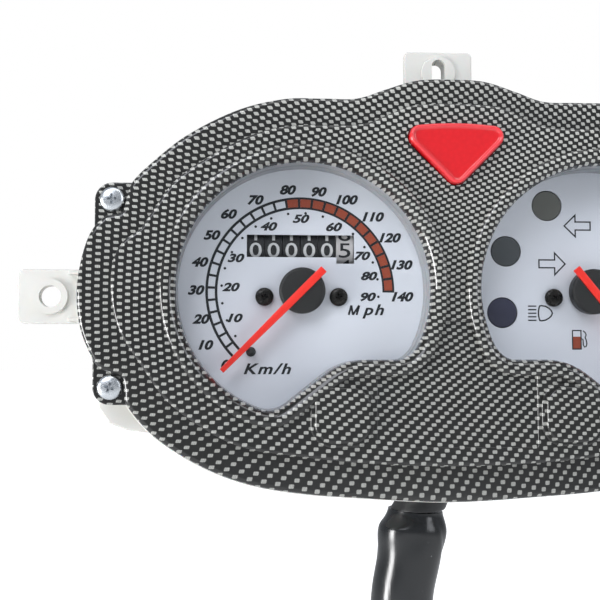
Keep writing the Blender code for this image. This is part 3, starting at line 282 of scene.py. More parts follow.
def slab(name, loops, low, high, edge=0.0, rounding=3):
    """A flat moulding between two heights, its rims rounded by edge; loops hold (x, up) points."""
    curve = bpy.data.curves.new(name, "CURVE")
    curve.dimensions = "2D"
    curve.fill_mode = "BOTH"
    for loop in loops:
        spline = curve.splines.new("POLY")
        spline.points.add(len(loop) - 1)
        for point, (x, up) in zip(spline.points, loop):
            point.co = (x, up, 0, 1)
        spline.use_cyclic_u = True
    curve.extrude = (high - low) / 2 - edge
    if edge:
        curve.bevel_depth = edge
        curve.bevel_resolution = rounding
        curve.offset = -edge
    piece = bpy.data.objects.new(name, curve)
    bpy.context.collection.objects.link(piece)
    only(piece)
    bpy.ops.object.convert(target="MESH")
    return weld(upright(bpy.context.object, height=(high + low) / 2))


def lofted(name, outline, profile, capped=False):
    """Carry a profile of (distance outwards, height) round an outline: a closed ring, or a capped solid."""
    mesh = bpy.data.meshes.new(name)
    rings = [grown(outline, distance) for distance, height in profile]
    points = [(point.x, -profile[r][1], point.y) for r, ring in enumerate(rings) for point in ring]
    count = len(outline)
    faces = []
    for r in range(len(profile) - 1 if capped else len(profile)):
        upper = (r + 1) % len(profile) * count
        for i in range(count):
            ahead = (i + 1) % count
            faces.append((r * count + i, r * count + ahead, upper + ahead, upper + i))
    if capped:
        faces += [tuple(range(count)), tuple(range(len(points) - count, len(points)))]
    mesh.from_pydata(points, [], faces)
    piece = bpy.data.objects.new(name, mesh)
    bpy.context.collection.objects.link(piece)
    return weld(piece)


def revolved(name, profile, steps):
    """Revolve a (radius, z) profile about the z axis; one that stays off the axis is closed on itself."""
    mesh = bpy.data.meshes.new(name)
    edges = [(i, i + 1) for i in range(len(profile) - 1)]
    if profile[0][0] > WELD and profile[-1][0] > WELD:
        edges.append((len(profile) - 1, 0))
    mesh.from_pydata([(r, 0, z) for r, z in profile], edges, [])
    piece = bpy.data.objects.new(name, mesh)
    bpy.context.collection.objects.link(piece)
    only(piece)
    turn = piece.modifiers.new("Turn", "SCREW")
    turn.steps = steps
    turn.render_steps = steps
    turn.use_merge_vertices = True
    turn.merge_threshold = WELD
    bpy.ops.object.modifier_apply(modifier="Turn")
    return piece


def turned(name, profile, steps=48, x=0.0, up=0.0):
    """Revolve a profile and stand it upright at its place, its z towards the rider."""
    return weld(upright(revolved(name, profile, steps), x, up))


def rod(radius, low, high):
    """Profile of a plain rod."""
    return [(0, high), (radius, high), (radius, low), (0, low)]


def fused(piece, tools, operation="UNION"):
    """Join the tools to the piece, or cut them out of it, and remove them."""
    for tool in tools:
        only(piece)
        change = piece.modifiers.new("Change", "BOOLEAN")
        change.operation = operation
        change.solver = "EXACT"
        change.object = tool
        bpy.ops.object.modifier_apply(modifier="Change")
        bpy.data.objects.remove(tool)
    return piece


def cut(piece, tools):
    """Cut the tools out of the piece."""
    return fused(piece, tools, "DIFFERENCE")


def dressed(piece, paint, body, replaces=(), angle=35):
    """Shade a finished piece, paint it, and let it ride on its body."""
    only(piece)
    bpy.ops.object.shade_smooth_by_angle(angle=math.radians(angle))
    weighted = piece.modifiers.new("Normals", "WEIGHTED_NORMAL")
    weighted.keep_sharp = True
    bpy.ops.object.modifier_apply(modifier="Normals")
    piece.data.materials.clear()
    piece.data.materials.append(paint)
    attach(piece, body)
    if replaces:
        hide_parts(*replaces)
    return piece


def ear_outline(x, up, radius):
    """A screw ear: round outside, square towards the flange."""
    side = 1 if x > 0 else -1
    above = 1 if up > 0 else -1
    outer = arc(0, 0, radius, 90 * above, 0, 14)
    reach = 13 * MM
    inner = [(radius, -above * reach), (-reach * 0.9, -above * reach), (-reach * 0.9, above * radius)]
    return [Vector((x + side * p[0], up + p[1])) for p in outer + [Vector(q) for q in inner]]


def triangle_outline(growth=0.0):
    """The warning lens: a downward triangle with rounded corners, a bowed top and bowed sides."""
    radius = 3.8 * MM + growth
    side = growth / math.sin(math.radians(21.65))
    top = 57.0 * MM + growth
    reach = 21.5 * MM + side * math.cos(math.radians(21.65))
    tip = 35.4 * MM - growth / math.cos(math.radians(43.3))
    corners = rounded_polygon([(-reach, top), (reach, top), (0, tip)], radius, 12)
    first = next(i for i, point in enumerate(corners) if point.x > 0)
    left, right = corners[first - 1], corners[first]
    bowed = [left.lerp(right, i / 16) + Vector((0, 2.6 * MM * i / 16 * (1 - i / 16))) for i in range(1, 16)]
    return corners[:first] + bowed + corners[first:]


LIP = [(0, 27.0), (0, 28.6), (0.25, 30.0), (0.8, 31.1), (1.6, 31.9), (2.6, 32.4), (3.6, 32.5),
       (4.5, 32.35), (5.1, 32.0), (5.45, 31.4), (5.5, 30.7), (5.5, 28.4), (4.0, 27.0)]
RECESS_HALF = 27.5 * MM
RECESS_TOP = -9 * MM
RECESS_FOOT = -51.9 * MM
RECESS_SLOPE = math.radians(1.5)
PAD_X = 39.0 * MM
PAD_Z = -40.7 * MM
PAD_SIZE = 18.6 * MM
flange = smoothed(mirrored(FLANGE_HALF))
plateau = smoothed(mirrored(PLATEAU_HALF))
skirt = RIM_TOP + 0.3 * MM
bezel = slab("bezel_cover", [flange], skirt - 4 * MM, FLANGE_TOP, 1.8 * MM, 4)
fused(bezel, [slab("plateau", [plateau], FLANGE_TOP - 3 * MM, PLATEAU_TOP, 1.2 * MM, 4)])
corners = [(-RECESS_HALF, RECESS_TOP), (RECESS_HALF, RECESS_TOP), (RECESS_HALF, RECESS_FOOT),
           (-RECESS_HALF, RECESS_FOOT)]
recess = slab("recess", [corners], 0, 6 * MM, 0.7 * MM)
only(recess)
bpy.ops.transform.rotate(value=RECESS_SLOPE, orient_axis="X", center_override=(0, 0, RECESS_FOOT))
bpy.ops.transform.translate(value=(0, -PLATEAU_TOP + 0.25 * MM, 0))
bpy.ops.object.transform_apply(location=True, rotation=True, scale=True)
cut(bezel, [recess])
for side in (-1, 1):
    for growth, top, edge in ((1.4 * MM, 31.0 * MM, 0.6 * MM), (0, 32.4 * MM, 0.9 * MM)):
        half = PAD_SIZE / 2 + growth
        x = side * PAD_X
        corners = [(x - half, PAD_Z + half), (x + half, PAD_Z + half), (x + half, PAD_Z - half),
                   (x - half, PAD_Z - half)]
        corners = rounded_polygon(corners, 6.0 * MM + growth)
        fused(bezel, [slab("pad", [corners], FLANGE_TOP + 2 * MM, top, edge)])
    for x, up in EARS:
        ear = ear_outline(side * x, up, 6 * MM)
        fused(bezel, [slab("ear", [ear], skirt - 2 * MM, EAR_TOP, 0.5 * MM)])
    cut(bezel, [slab("opening", [grown(opening_outline(side), 2 * MM)], 16 * MM, 40 * MM)])
    fused(bezel, [lofted("lip", opening_outline(side), in_metres(LIP))])
below = [(-0.15, 0.09), (0.15, 0.09), (0.15, -0.09), (-0.15, -0.09)]
cut(bezel, [slab("skirt_cut", [below], 6 * MM, skirt),
            slab("under_flange", [grown(flange, -SHELL_WALL)], skirt - 6 * MM, FLANGE_TOP - SHELL_WALL),
            slab("under_plateau", [grown(plateau, -SHELL_WALL)], skirt - 8 * MM, PLATEAU_TOP - SHELL_WALL),
            slab("triangle_hole", [triangle_outline(0.35 * MM)], 20 * MM, 40 * MM)])
for side in (-1, 1):
    for x, up in EARS:
        cut(bezel, [turned("ear_hole", rod(2.3 * MM, 10 * MM, 30 * MM), 24, side * x, up)])

# The print: pale cells on near-black. Alternate columns are half a step out, and every cell shows its
# threads. The film stretched as the part was dipped: counted per 100 mm, the columns lie closest in the
# middle and lean below it, and the rows open out towards the bottom edge.
COLUMNS_IN_MIDDLE = 56.0
COLUMN_SPREAD = -4.7
COLUMN_LEAN = -24.0
ROWS_IN_MIDDLE = 45.5
ROW_SPREAD = -12.5
ROW_SINK = 3.7
THREADS_IN_CELL = 4.6
printed, tree, shader = new_material("Dip-printed lacquered ABS", Roughness=0.42, IOR=1.5,
                                     Specular_IOR_Level=0.12, Coat_Weight=1.0, Coat_Roughness=0.03,
                                     Coat_IOR=1.5)
place = add_node(tree, "TexCoord").outputs["Object"]
axes = add_node(tree, "SeparateXYZ", {0: place})
stretch = add_node(tree, "TexNoise", {"Vector": place, "Scale": 14.0, "Detail": 1.0})
pulls = add_node(tree, "SeparateColor", {0: stretch.outputs["Color"]})
# Places in tenths of a metre, pulled about a little
pull_x = add_node(tree, "Math", {0: pulls, 1: 0.035, 2: -0.0175}, operation="MULTIPLY_ADD")
pull_z = add_node(tree, "Math", {0: pulls.outputs[1], 1: 0.035, 2: -0.0175}, operation="MULTIPLY_ADD")
across = add_node(tree, "Math", {0: axes.outputs["X"], 1: 10.0, 2: pull_x}, operation="MULTIPLY_ADD")
upward = add_node(tree, "Math", {0: axes.outputs["Z"], 1: 10.0, 2: pull_z}, operation="MULTIPLY_ADD")
across_2 = add_node(tree, "Math", {0: across, 1: across}, operation="MULTIPLY")
upward_2 = add_node(tree, "Math", {0: upward, 1: upward}, operation="MULTIPLY")
# Columns and rows passed on the way to a place
spread = add_node(tree, "Math", {0: across_2, 1: COLUMN_SPREAD, 2: COLUMNS_IN_MIDDLE},
                  operation="MULTIPLY_ADD")
bend_z = add_node(tree, "Math", {0: upward_2, 1: -0.8, 2: 1.0}, operation="MULTIPLY_ADD")
bend = add_node(tree, "Math", {0: across_2, 1: -0.54, 2: bend_z}, operation="MULTIPLY_ADD")
bent = add_node(tree, "Math", {0: upward_2, 1: bend}, operation="MULTIPLY")
lean = add_node(tree, "Math", {0: bent, 1: COLUMN_LEAN}, operation="MULTIPLY")
columns = add_node(tree, "Math", {0: across, 1: spread, 2: lean}, operation="MULTIPLY_ADD")
opening = add_node(tree, "Math", {0: upward, 1: 6.5, 2: ROWS_IN_MIDDLE}, operation="MULTIPLY_ADD")
opening_out = add_node(tree, "Math", {0: upward_2, 1: ROW_SPREAD, 2: opening}, operation="MULTIPLY_ADD")
level_rows = add_node(tree, "Math", {0: upward, 1: opening_out}, operation="MULTIPLY")
row_count = add_node(tree, "Math", {0: across, 1: ROW_SINK, 2: level_rows}, operation="MULTIPLY_ADD")
# Odd columns are half a step out; the 1000 keeps the numbers positive
column = add_node(tree, "Math", {0: columns}, operation="FLOOR")
above_zero = add_node(tree, "Math", {0: column, 1: 1000.0}, operation="ADD")
odd = add_node(tree, "Math", {0: above_zero, 1: 2.0}, operation="MODULO")
rows = add_node(tree, "Math", {0: odd, 1: 0.5, 2: row_count}, operation="MULTIPLY_ADD")
rows_up = add_node(tree, "Math", {0: rows, 1: 1000.0}, operation="ADD")
# The place inside the cell, from -0.5 to 0.5, sheared with the lean
part_x = add_node(tree, "Math", {0: columns}, operation="FRACT")
part_z = add_node(tree, "Math", {0: rows_up}, operation="FRACT")
square_x = add_node(tree, "Math", {0: part_x, 1: 0.5}, operation="SUBTRACT")
square_z = add_node(tree, "Math", {0: part_z, 1: 0.5}, operation="SUBTRACT")
shear = add_node(tree, "Math", {0: upward, 1: 0.95}, operation="MULTIPLY")
cell_x = add_node(tree, "Math", {0: square_z, 1: shear, 2: square_x}, operation="MULTIPLY_ADD")
cell_z = add_node(tree, "Math", {0: cell_x, 1: -0.08, 2: square_z}, operation="MULTIPLY_ADD")
# A rounded box in each cell: the sum of the fifth powers of its two distances from the middle
sideways = add_node(tree, "Math", {0: across}, operation="ABSOLUTE")
half_x = add_node(tree, "MapRange", {0: sideways, 1: 0.2, 2: 1.25, 3: 0.435, 4: 0.30})
half_z = add_node(tree, "MapRange", {0: upward, 1: -0.65, 2: 0.0, 3: 0.15, 4: 0.225})
powers = []
for distance, half_size in ((cell_x, half_x), (cell_z, half_z)):
    from_middle = add_node(tree, "Math", {0: distance}, operation="ABSOLUTE")
    share = add_node(tree, "Math", {0: from_middle, 1: half_size}, operation="DIVIDE")
    powers.append(add_node(tree, "Math", {0: share, 1: 5.0}, operation="POWER"))
outwards = add_node(tree, "Math", {0: powers[0], 1: powers[1]}, operation="ADD")
inside = add_node(tree, "MapRange", {0: outwards, 1: 1.35, 2: 0.55, 3: 0.0, 4: 1.0})
# Threads, grain and patchy noise vary how pale the cell is, and the pale is painted darker towards the
# bottom as painted shade
turns = add_node(tree, "Math", {0: cell_x, 1: 2 * math.pi * THREADS_IN_CELL}, operation="MULTIPLY")
wave = add_node(tree, "Math", {0: turns}, operation="COSINE")
threads = add_node(tree, "Math", {0: wave, 1: 0.16, 2: 0.84}, operation="MULTIPLY_ADD")
speckle = add_node(tree, "TexNoise", {"Vector": place, "Scale": 2600.0, "Detail": 2.0})
grain = add_node(tree, "MapRange", {0: speckle, 1: 0.3, 2: 0.7, 3: 0.72, 4: 1.08})
patchy = add_node(tree, "MapRange", {0: pulls.outputs[2], 1: 0.3, 2: 0.7, 3: 0.82, 4: 1.0})
# Painted shade: the pale cells are darkened towards the bottom of the bezel
painted_shade_lower = add_node(tree, "MapRange", {0: upward, 1: -0.6, 2: 0.2, 3: 0.68, 4: 1.0})
light = threads
for share in (grain, patchy, painted_shade_lower):
    light = add_node(tree, "Math", {0: light, 1: share}, operation="MULTIPLY")
pale = add_node(tree, "Mix", {0: light, 6: linear("#34332F"), 7: linear("#C9C9C3")}, data_type="RGBA")
dark = add_node(tree, "Mix", {0: speckle, 6: linear("#0C0C0C"), 7: linear("#20201E")}, data_type="RGBA")
cells = add_node(tree, "Mix", {0: inside, 6: dark.outputs[2], 7: pale.outputs[2]}, data_type="RGBA")
tree.links.new(cells.outputs[2], shader.inputs["Base Color"])
peel = add_node(tree, "TexNoise", {"Vector": place, "Scale": 330.0, "Detail": 1.0})
ripple = add_node(tree, "Bump", {"Strength": 0.05, "Distance": 0.0002, "Height": peel})
tree.links.new(ripple.outputs[0], shader.inputs["Coat Normal"])
dressed(bezel, printed, "cluster", ["front_bezel"], 40)

# ------------------------------------------------------------------------------------------------
# Wiring sleeve: an extruded PVC tube drawn over the loom, squeezed where it enters the rubber boot,
# creased at its shoulder, and hanging free down to the plug.
# ------------------------------------------------------------------------------------------------
SLEEVE_RADIUS = 11.7 * MM
SLEEVE_NECK = 10.0 * MM
SLEEVE_ROUTE = [(-4.0, 14.0, -79.3), (-4.6, 14.0, -87), (-6.8, 14.2, -98), (-9.4, 14.4, -110),
                (-10.6, 14.6, -122), (-10.9, 14.6, -140), (-10.6, 14.4, -162), (-9.8, 14.0, -186),
                (-8.8, 13.6, -212), (-8.0, 13.4, -240), (-7.6, 13.4, -268), (-7.5, 13.4, -296)]


def smooth_route(route, pieces):
    """Points of a smooth curve through a route given in mm."""
    keys = [Vector(point) * MM for point in route]
    keys = [keys[0] * 2 - keys[1]] + keys + [keys[-1] * 2 - keys[-2]]
    points = []
    for i in range(1, len(keys) - 2):
        a, b, c, d = keys[i - 1:i + 3]
        for step in range(pieces):
            t = step / pieces
            points.append((b * 2 + (c - a) * t + (a * 2 - b * 5 + c * 4 - d) * t ** 2
                           + (b * 3 - a - c * 3 + d) * t ** 3) / 2)
    return points + [keys[-2]]


def between(low, high, value):
    """How far a value has come from low to high, eased at both ends, 0 to 1."""
    t = min(max((value - low) / (high - low), 0.0), 1.0)
    return t * t * (3 - 2 * t)


centreline = smooth_route(SLEEVE_ROUTE, 16)
ROUND = 64
FIRST_LEAN = 2.2
SHOULDER_BULGE = 2.2
sleeve_points = []
travelled = 0.0
for i, point in enumerate(centreline):
    travelled += (point - centreline[i - 1]).length if i else 0.0
    s = travelled / MM
    ahead = (centreline[min(i + 1, len(centreline) - 1)] - centreline[max(i - 1, 0)]).normalized()
    sideways = ahead.cross(Vector((0, 1, 0))).normalized()
    forwards = sideways.cross(ahead)
    open_out = between(0, 7.5, s)
    pinch = between(208, 216, s)
    middle = point - Vector((FIRST_LEAN * (1 - between(22, 75, s)) * MM, 0, 0))
    for k in range(ROUND):
        a = 2 * math.pi * k / ROUND
        spot = Vector((math.cos(a), math.sin(a), s * 0.02))
        radius = SLEEVE_NECK + (SLEEVE_RADIUS - SLEEVE_NECK) * open_out
        fold = math.cos(3 * a + 0.12 * s) * math.exp(-((s - 7) / 6) ** 2)
        crease = -math.exp(-((math.sin(a - 2.2 - 0.05 * s)) / 0.16) ** 2) * math.exp(-((s - 9) / 7) ** 2)
        lumps = noise.noise(spot * 1.3) * between(4, 30, s) * (1 - pinch)
        shoulder = max(0.0, -math.cos(a)) ** 2 * math.exp(-((s - 9) / 8) ** 2)
        radius += (0.35 * fold + 0.55 * crease + 0.28 * lumps + SHOULDER_BULGE * shoulder) * MM
        flat = 1 - 0.27 * pinch
        across = sideways * math.cos(a) * radius
        sleeve_points.append(middle + across + forwards * math.sin(a) * radius * flat)
sleeve_faces = []
for ring in range(len(centreline) - 1):
    for k in range(ROUND):
        here, ahead = ring * ROUND + k, ring * ROUND + (k + 1) % ROUND
        sleeve_faces.append((here, ahead, ahead + ROUND, here + ROUND))
sleeve_faces += [tuple(range(ROUND)), tuple(range(len(sleeve_points) - ROUND, len(sleeve_points)))]
sleeve_mesh = bpy.data.meshes.new("sleeve")
sleeve_mesh.from_pydata(sleeve_points, [], sleeve_faces)
sleeve = bpy.data.objects.new("wiring_sleeve", sleeve_mesh)
bpy.context.collection.objects.link(sleeve)
weld(sleeve)

# Plasticised PVC: black and glossy, with faint draw lines along its length and a little dust on it
vinyl, tree, shader = new_material("Extruded black PVC", Roughness=0.2, IOR=1.53,
                                   Specular_IOR_Level=0.6)
place = add_node(tree, "TexCoord").outputs["Object"]
drawn = add_node(tree, "Mapping", {"Vector": place, "Scale": (1600.0, 1600.0, 12.0)})
lines = add_node(tree, "TexNoise", {"Vector": drawn, "Scale": 1.0, "Detail": 2.0})
cloud = add_node(tree, "TexNoise", {"Vector": place, "Scale": 90.0, "Detail": 3.0})
dust = add_node(tree, "TexVoronoi", {"Vector": place, "Scale": 260.0}, feature="F1")
speck = add_node(tree, "MapRange", {0: dust.outputs["Distance"], 1: 0.05, 2: 0.09, 3: 1.0, 4: 0.0})
thin = add_node(tree, "MapRange", {0: cloud, 1: 0.52, 2: 0.62, 3: 0.0, 4: 0.45})
dusty = add_node(tree, "Math", {0: speck, 1: thin}, operation="MULTIPLY")
black = add_node(tree, "Mix", {0: cloud, 6: linear("#07090B"), 7: linear("#141719")}, data_type="RGBA")
tint = add_node(tree, "Mix", {0: dusty, 6: black.outputs[2], 7: linear("#9FA3A4")}, data_type="RGBA")
tree.links.new(tint.outputs[2], shader.inputs["Base Color"])
shine = add_node(tree, "MapRange", {0: cloud, 1: 0.3, 2: 0.7, 3: 0.16, 4: 0.27})
tree.links.new(shine.outputs[0], shader.inputs["Roughness"])
draw_marks = add_node(tree, "Bump", {"Strength": 0.12, "Distance": 0.0003, "Height": lines})
tree.links.new(draw_marks.outputs[0], shader.inputs["Normal"])
dressed(sleeve, vinyl, "cluster", ["harness_sleeve"], 60)

# ------------------------------------------------------------------------------------------------
# Plug: an eight-way nylon housing on the sleeve's end, with a sprung latch, two guide ribs and the
# square cavities that hold the terminals.
# ------------------------------------------------------------------------------------------------
PLUG_MIDDLE = Vector((-7.5 * MM, 13.4 * MM, -309.3 * MM))


def boxed(name, middle, size, rounding=0.0, segments=3):
    """A block with its edges rounded, at its place."""
    bpy.ops.object.select_all(action="DESELECT")
    bpy.ops.mesh.primitive_cube_add(size=1.0, location=middle)
    piece = bpy.context.object
    piece.name = name
    piece.scale = size
    bpy.ops.object.transform_apply(location=True, rotation=True, scale=True)
    if rounding:
        soften = piece.modifiers.new("Rounding", "BEVEL")
        soften.width = rounding
        soften.segments = segments
        bpy.ops.object.modifier_apply(modifier="Rounding")
    return piece


plug = boxed("wiring_plug", PLUG_MIDDLE, (0.028, 0.018, 0.026), 0.0011)
latch = boxed("latch", PLUG_MIDDLE + Vector((0, -0.0096, 0.002)), (0.009, 0.0022, 0.017), 0.0007)
latch_post = boxed("latch_post", PLUG_MIDDLE + Vector((0, -0.0088, -0.005)), (0.008, 0.003, 0.003),
                   0.0004)
ribs = [boxed("rib", PLUG_MIDDLE + Vector((x, 0.009, 0)), (0.0024, 0.0022, 0.0235), 0.0006)
        for x in (-0.008, 0.008)]
collar = boxed("collar", PLUG_MIDDLE + Vector((0, 0, 0.0105)), (0.0288, 0.0188, 0.0038), 0.0008)
fused(plug, [collar, latch_post, latch] + ribs)
cavities = []
for column in range(4):
    for row in range(2):
        middle = PLUG_MIDDLE + Vector(((column - 1.5) * 0.0062, (row - 0.5) * 0.0072, -0.006))
        cavities.append(boxed("cavity", middle, (0.0036, 0.0042, 0.018)))
cut(plug, cavities)
weld(plug)


def finish(name, deep, pale, cloud, shine=None, relief=None, **constants):
    """A material clouded between two colours by noise of (scale per metre, detail).

    Shine, of (scale, detail, least, greatest), varies its roughness, and relief, of (scale, detail,
    strength), makes its surface uneven.
    """
    paint, tree, shader = new_material(name, **constants)
    place = add_node(tree, "TexCoord").outputs["Object"]
    clouds = add_node(tree, "TexNoise", {"Vector": place, "Scale": cloud[0], "Detail": cloud[1]})
    tint = add_node(tree, "Mix", {0: clouds, 6: linear(deep), 7: linear(pale)}, data_type="RGBA")
    tree.links.new(tint.outputs[2], shader.inputs["Base Color"])
    if shine:
        wear = add_node(tree, "TexNoise", {"Vector": place, "Scale": shine[0], "Detail": shine[1]})
        gloss = add_node(tree, "MapRange", {0: wear, 1: 0.3, 2: 0.7, 3: shine[2], 4: shine[3]})
        tree.links.new(gloss.outputs[0], shader.inputs["Roughness"])
    if relief:
        grit = add_node(tree, "TexNoise", {"Vector": place, "Scale": relief[0], "Detail": relief[1]})
        grain = add_node(tree, "Bump", {"Strength": relief[2], "Distance": 0.1 * MM, "Height": grit})
        tree.links.new(grain.outputs[0], shader.inputs["Normal"])
    return paint


# Glass-filled nylon: semi-matt off-black, with a fine spark-eroded grain about 0.3 mm across
nylon_black = finish("Moulded black nylon", "#141517", "#232427", (120, 2), relief=(3200, 2, 0.25),
                     Roughness=0.5, IOR=1.53)
dressed(plug, nylon_black, "cluster", ["harness_plug"], 35)

# ------------------------------------------------------------------------------------------------
# Boot: a moulded rubber grommet snapped into the tub's underside, its lip drawn down round the sleeve.
# ------------------------------------------------------------------------------------------------
BOOT_X = -1.5 * MM
BOOT_DEPTH = 14 * MM
BOOT_LEAN = 4.2 * MM
BOOT_FLARE = 0.12
BOOT_PROFILE = [(6.8, -62.7), (10.6, -62.7), (10.8, -62.9), (10.8, -64.1), (9.3, -64.1), (9.3, -67.6),
                (12.2, -67.6), (12.5, -67.9), (12.5, -70.0), (12.3, -70.5), (11.4, -71.2),
                (10.4, -72.2), (9.8, -73.4), (9.5, -75), (9.3, -77), (9.3, -78.2), (9.1, -78.8),
                (8.7, -79.0), (7.2, -79.0), (6.8, -78.7)]


def shifted(piece, offset):
    """Fix a piece at its place."""
    only(piece)
    piece.location = offset
    bpy.ops.object.transform_apply(location=True, rotation=True, scale=True)
    return weld(piece)


boot = revolved("wiring_boot", in_metres(BOOT_PROFILE), 64)
for vertex in boot.data.vertices:
    drawn_down = max(0.0, (-71 * MM - vertex.co.z) / (8 * MM))
    vertex.co.x = vertex.co.x * (1 + BOOT_FLARE * drawn_down) - BOOT_LEAN * drawn_down
    vertex.co.y *= 1 + BOOT_FLARE * drawn_down
shifted(boot, (BOOT_X, BOOT_DEPTH, 0))

# EPDM rubber: matt black with a soft sheen and a powdery bloom
rubber = finish("Moulded EPDM rubber", "#0A0B0C", "#18191B", (160, 4), relief=(2600, 2, 0.3),
                Roughness=0.45, IOR=1.5, Sheen_Weight=0.05, Sheen_Roughness=0.6)
dressed(boot, rubber, "cluster", ["harness_boot"], 40)

# ------------------------------------------------------------------------------------------------
# Warning lens: an injection-moulded red acrylic triangle with a raised rim round a slightly sunk face.
# It is pushed through the bezel from behind and sits on its own flange.
# ------------------------------------------------------------------------------------------------
LENS_RINGS = [(2.3, 25.7), (2.3, 27.4), (0.0, 27.5), (0.0, 31.7), (-0.12, 32.2), (-0.4, 32.6),
              (-0.75, 32.78), (-1.1, 32.72), (-1.4, 32.5), (-1.65, 32.25), (-2.1, 32.15), (-3.3, 32.1)]
warning = lofted("warning_triangle", triangle_outline(), in_metres(LENS_RINGS), capped=True)

# Red acrylic: clear-coloured and glossy, with a paler pink painted on its raised rim as a painted
# highlight, and a faint moulded stipple inside
acrylic, tree, shader = new_material("Red acrylic lens", Roughness=0.13, IOR=1.49, Coat_Weight=0.6,
                                     Coat_Roughness=0.02, Subsurface_Weight=0.25,
                                     Subsurface_Scale=0.002, Subsurface_Radius=(1.0, 0.12, 0.1))
place = add_node(tree, "TexCoord").outputs["Object"]
axes = add_node(tree, "SeparateXYZ", {0: place})
# Painted highlight: the raised rim, nearest the rider, is painted paler pink than the sunk face
deep = add_node(tree, "MapRange", {0: axes.outputs["Y"], 1: -0.0321, 2: -0.0328, 3: 0.0, 4: 1.0})
stipple = add_node(tree, "TexVoronoi", {"Vector": place, "Scale": 700.0}, feature="SMOOTH_F1")
faint = add_node(tree, "MapRange", {0: stipple.outputs["Distance"], 1: 0.0, 2: 0.8, 3: 0.0, 4: 0.35})
body = add_node(tree, "Mix", {0: faint, 6: linear("#D4141D"), 7: linear("#B90D16")}, data_type="RGBA")
tint = add_node(tree, "Mix", {0: deep, 6: body.outputs[2], 7: linear("#DC333B")}, data_type="RGBA")
tree.links.new(tint.outputs[2], shader.inputs["Base Color"])
soft = add_node(tree, "Bump",
                {"Strength": 0.05, "Distance": 0.0002, "Height": stipple.outputs["Distance"]})
tree.links.new(soft.outputs[0], shader.inputs["Normal"])
dressed(warning, acrylic, "cluster", ["warning_lens"], 50)

# ------------------------------------------------------------------------------------------------
# Dial lenses: clear polycarbonate panes held under the bezel's lips.
# ------------------------------------------------------------------------------------------------
glass, tree, shader = new_material("Clear polycarbonate", Roughness=0.04, IOR=1.58, Alpha=0.06)
place = add_node(tree, "TexCoord").outputs["Object"]
haze = add_node(tree, "TexNoise", {"Vector": place, "Scale": 35.0, "Detail": 3.0})
tint = add_node(tree, "Mix", {0: haze, 6: linear("#0B0D0F"), 7: linear("#16191C")}, data_type="RGBA")
tree.links.new(tint.outputs[2], shader.inputs["Base Color"])
wipe = add_node(tree, "MapRange", {0: haze, 1: 0.35, 2: 0.7, 3: 0.02, 4: 0.08})
tree.links.new(wipe.outputs[0], shader.inputs["Roughness"])
for side, gauge in ((-1, "speedometer"), (1, "fuel")):
    pane = slab(f"{gauge}_pane", [grown(opening_outline(side), 3 * MM)], 26 * MM, 27.5 * MM, 0.3 * MM)
    dressed(pane, glass, "cluster", [f"{gauge}_lens"])

# ------------------------------------------------------------------------------------------------
# Ring walls: translucent white mouldings that stand between the lens and the dial and hide the gap.
# ------------------------------------------------------------------------------------------------
WALL_PROFILE = [(0.3, 14.3), (0.3, 19.4), (0.42, 19.8), (0.62, 19.95), (0.62, 25.3), (0.75, 25.6),
                (1.0, 25.7), (1.45, 25.7), (1.6, 25.5), (1.6, 14.5), (1.4, 14.3)]

# Polypropylene: milky and satin, greyed by the little light that reaches it
milky = finish("Moulded white polypropylene", "#8E9194", "#A4A7AA", (60, 3), relief=(1800, 1, 0.1),
               Roughness=0.45, IOR=1.49, Subsurface_Weight=0.2, Subsurface_Scale=0.002)
for side, gauge in ((-1, "speedometer"), (1, "fuel")):
    wall = lofted(f"{gauge}_wall", opening_outline(side), in_metres(WALL_PROFILE))
    dressed(wall, milky, "cluster", [f"{gauge}_ring_wall"], 40)

# ------------------------------------------------------------------------------------------------
# Dials: 1 mm white polycarbonate plates with screen-printed scales. Ink stands a little proud of the
# plate. The speedometer has an odometer window, the fuel gauge has three holes for its light filters.
# ------------------------------------------------------------------------------------------------
DIAL_BACK = 13.0 * MM
DIAL_TOP = 14.0 * MM
INK = 0.05 * MM
FILL_INSET = 0.01
SCALE_IN = 29.0
SCALE_OUT = 33.2
SCALE_START = 225.0
SCALE_END = 0.0
SPEED_CENTRE = (-51.9 * MM, 1.5 * MM)
REST_PIN = (-69.18 * MM, -19.68 * MM)
FUEL_CENTRE = (51.5 * MM, 1.5 * MM)
WINDOW = [(-70.7, 21.4), (-32.9, 21.4), (-32.9, 11.3), (-39.2, 11.3), (-39.2, 13.5), (-70.7, 13.5)]
WARNING_SPOTS = [(36.6, 32.6), (21.5, 16.1), (20.0, -5.8)]
KMH_PLACES = [(-78.0, -24.1), (-84.8, -17.3), (-86.5, -8.3), (-88.3, 1.8), (-87.0, 11.6), (-82.9, 21.1),
              (-77.0, 28.6), (-67.7, 33.6), (-56.3, 37.3), (-45.3, 36.7), (-35.4, 34.0), (-26.1, 28.0),
              (-20.1, 20.6), (-16.0, 11.0), (-15.8, -0.3)]
MPH_PLACES = [(-74.7, -7.9), (-76.2, 2.9), (-74.5, 13.1), (-63.0, 24.3), (-51.7, 27.1), (-40.0, 24.3),
              (-30.1, 14.1), (-27.6, 7.0), (-28.0, -0.4)]


def circle(x, up, radius, steps=48):
    """A full circle of points."""
    return arc(x, up, radius, 0, 360, steps)[:-1]


def sector(centre, inner, outer, start, end, steps=3):
    """A piece of a ring, its radii in mm and its angles in degrees."""
    return arc(*centre, outer * MM, start, end, steps) + arc(*centre, inner * MM, end, start, steps)


def scale_cell(centre, line, start, end, gap_width, steps):
    """The window left in a scale for one cell, and the ink that fills it."""
    gap = math.degrees(gap_width / 31)
    inner, outer = SCALE_IN + line, SCALE_OUT - line
    fill = sector(centre, inner + FILL_INSET, outer - FILL_INSET, start - gap * 1.02, end + gap * 1.02,
                  steps)
    return sector(centre, inner, outer, start - gap, end + gap, steps), fill


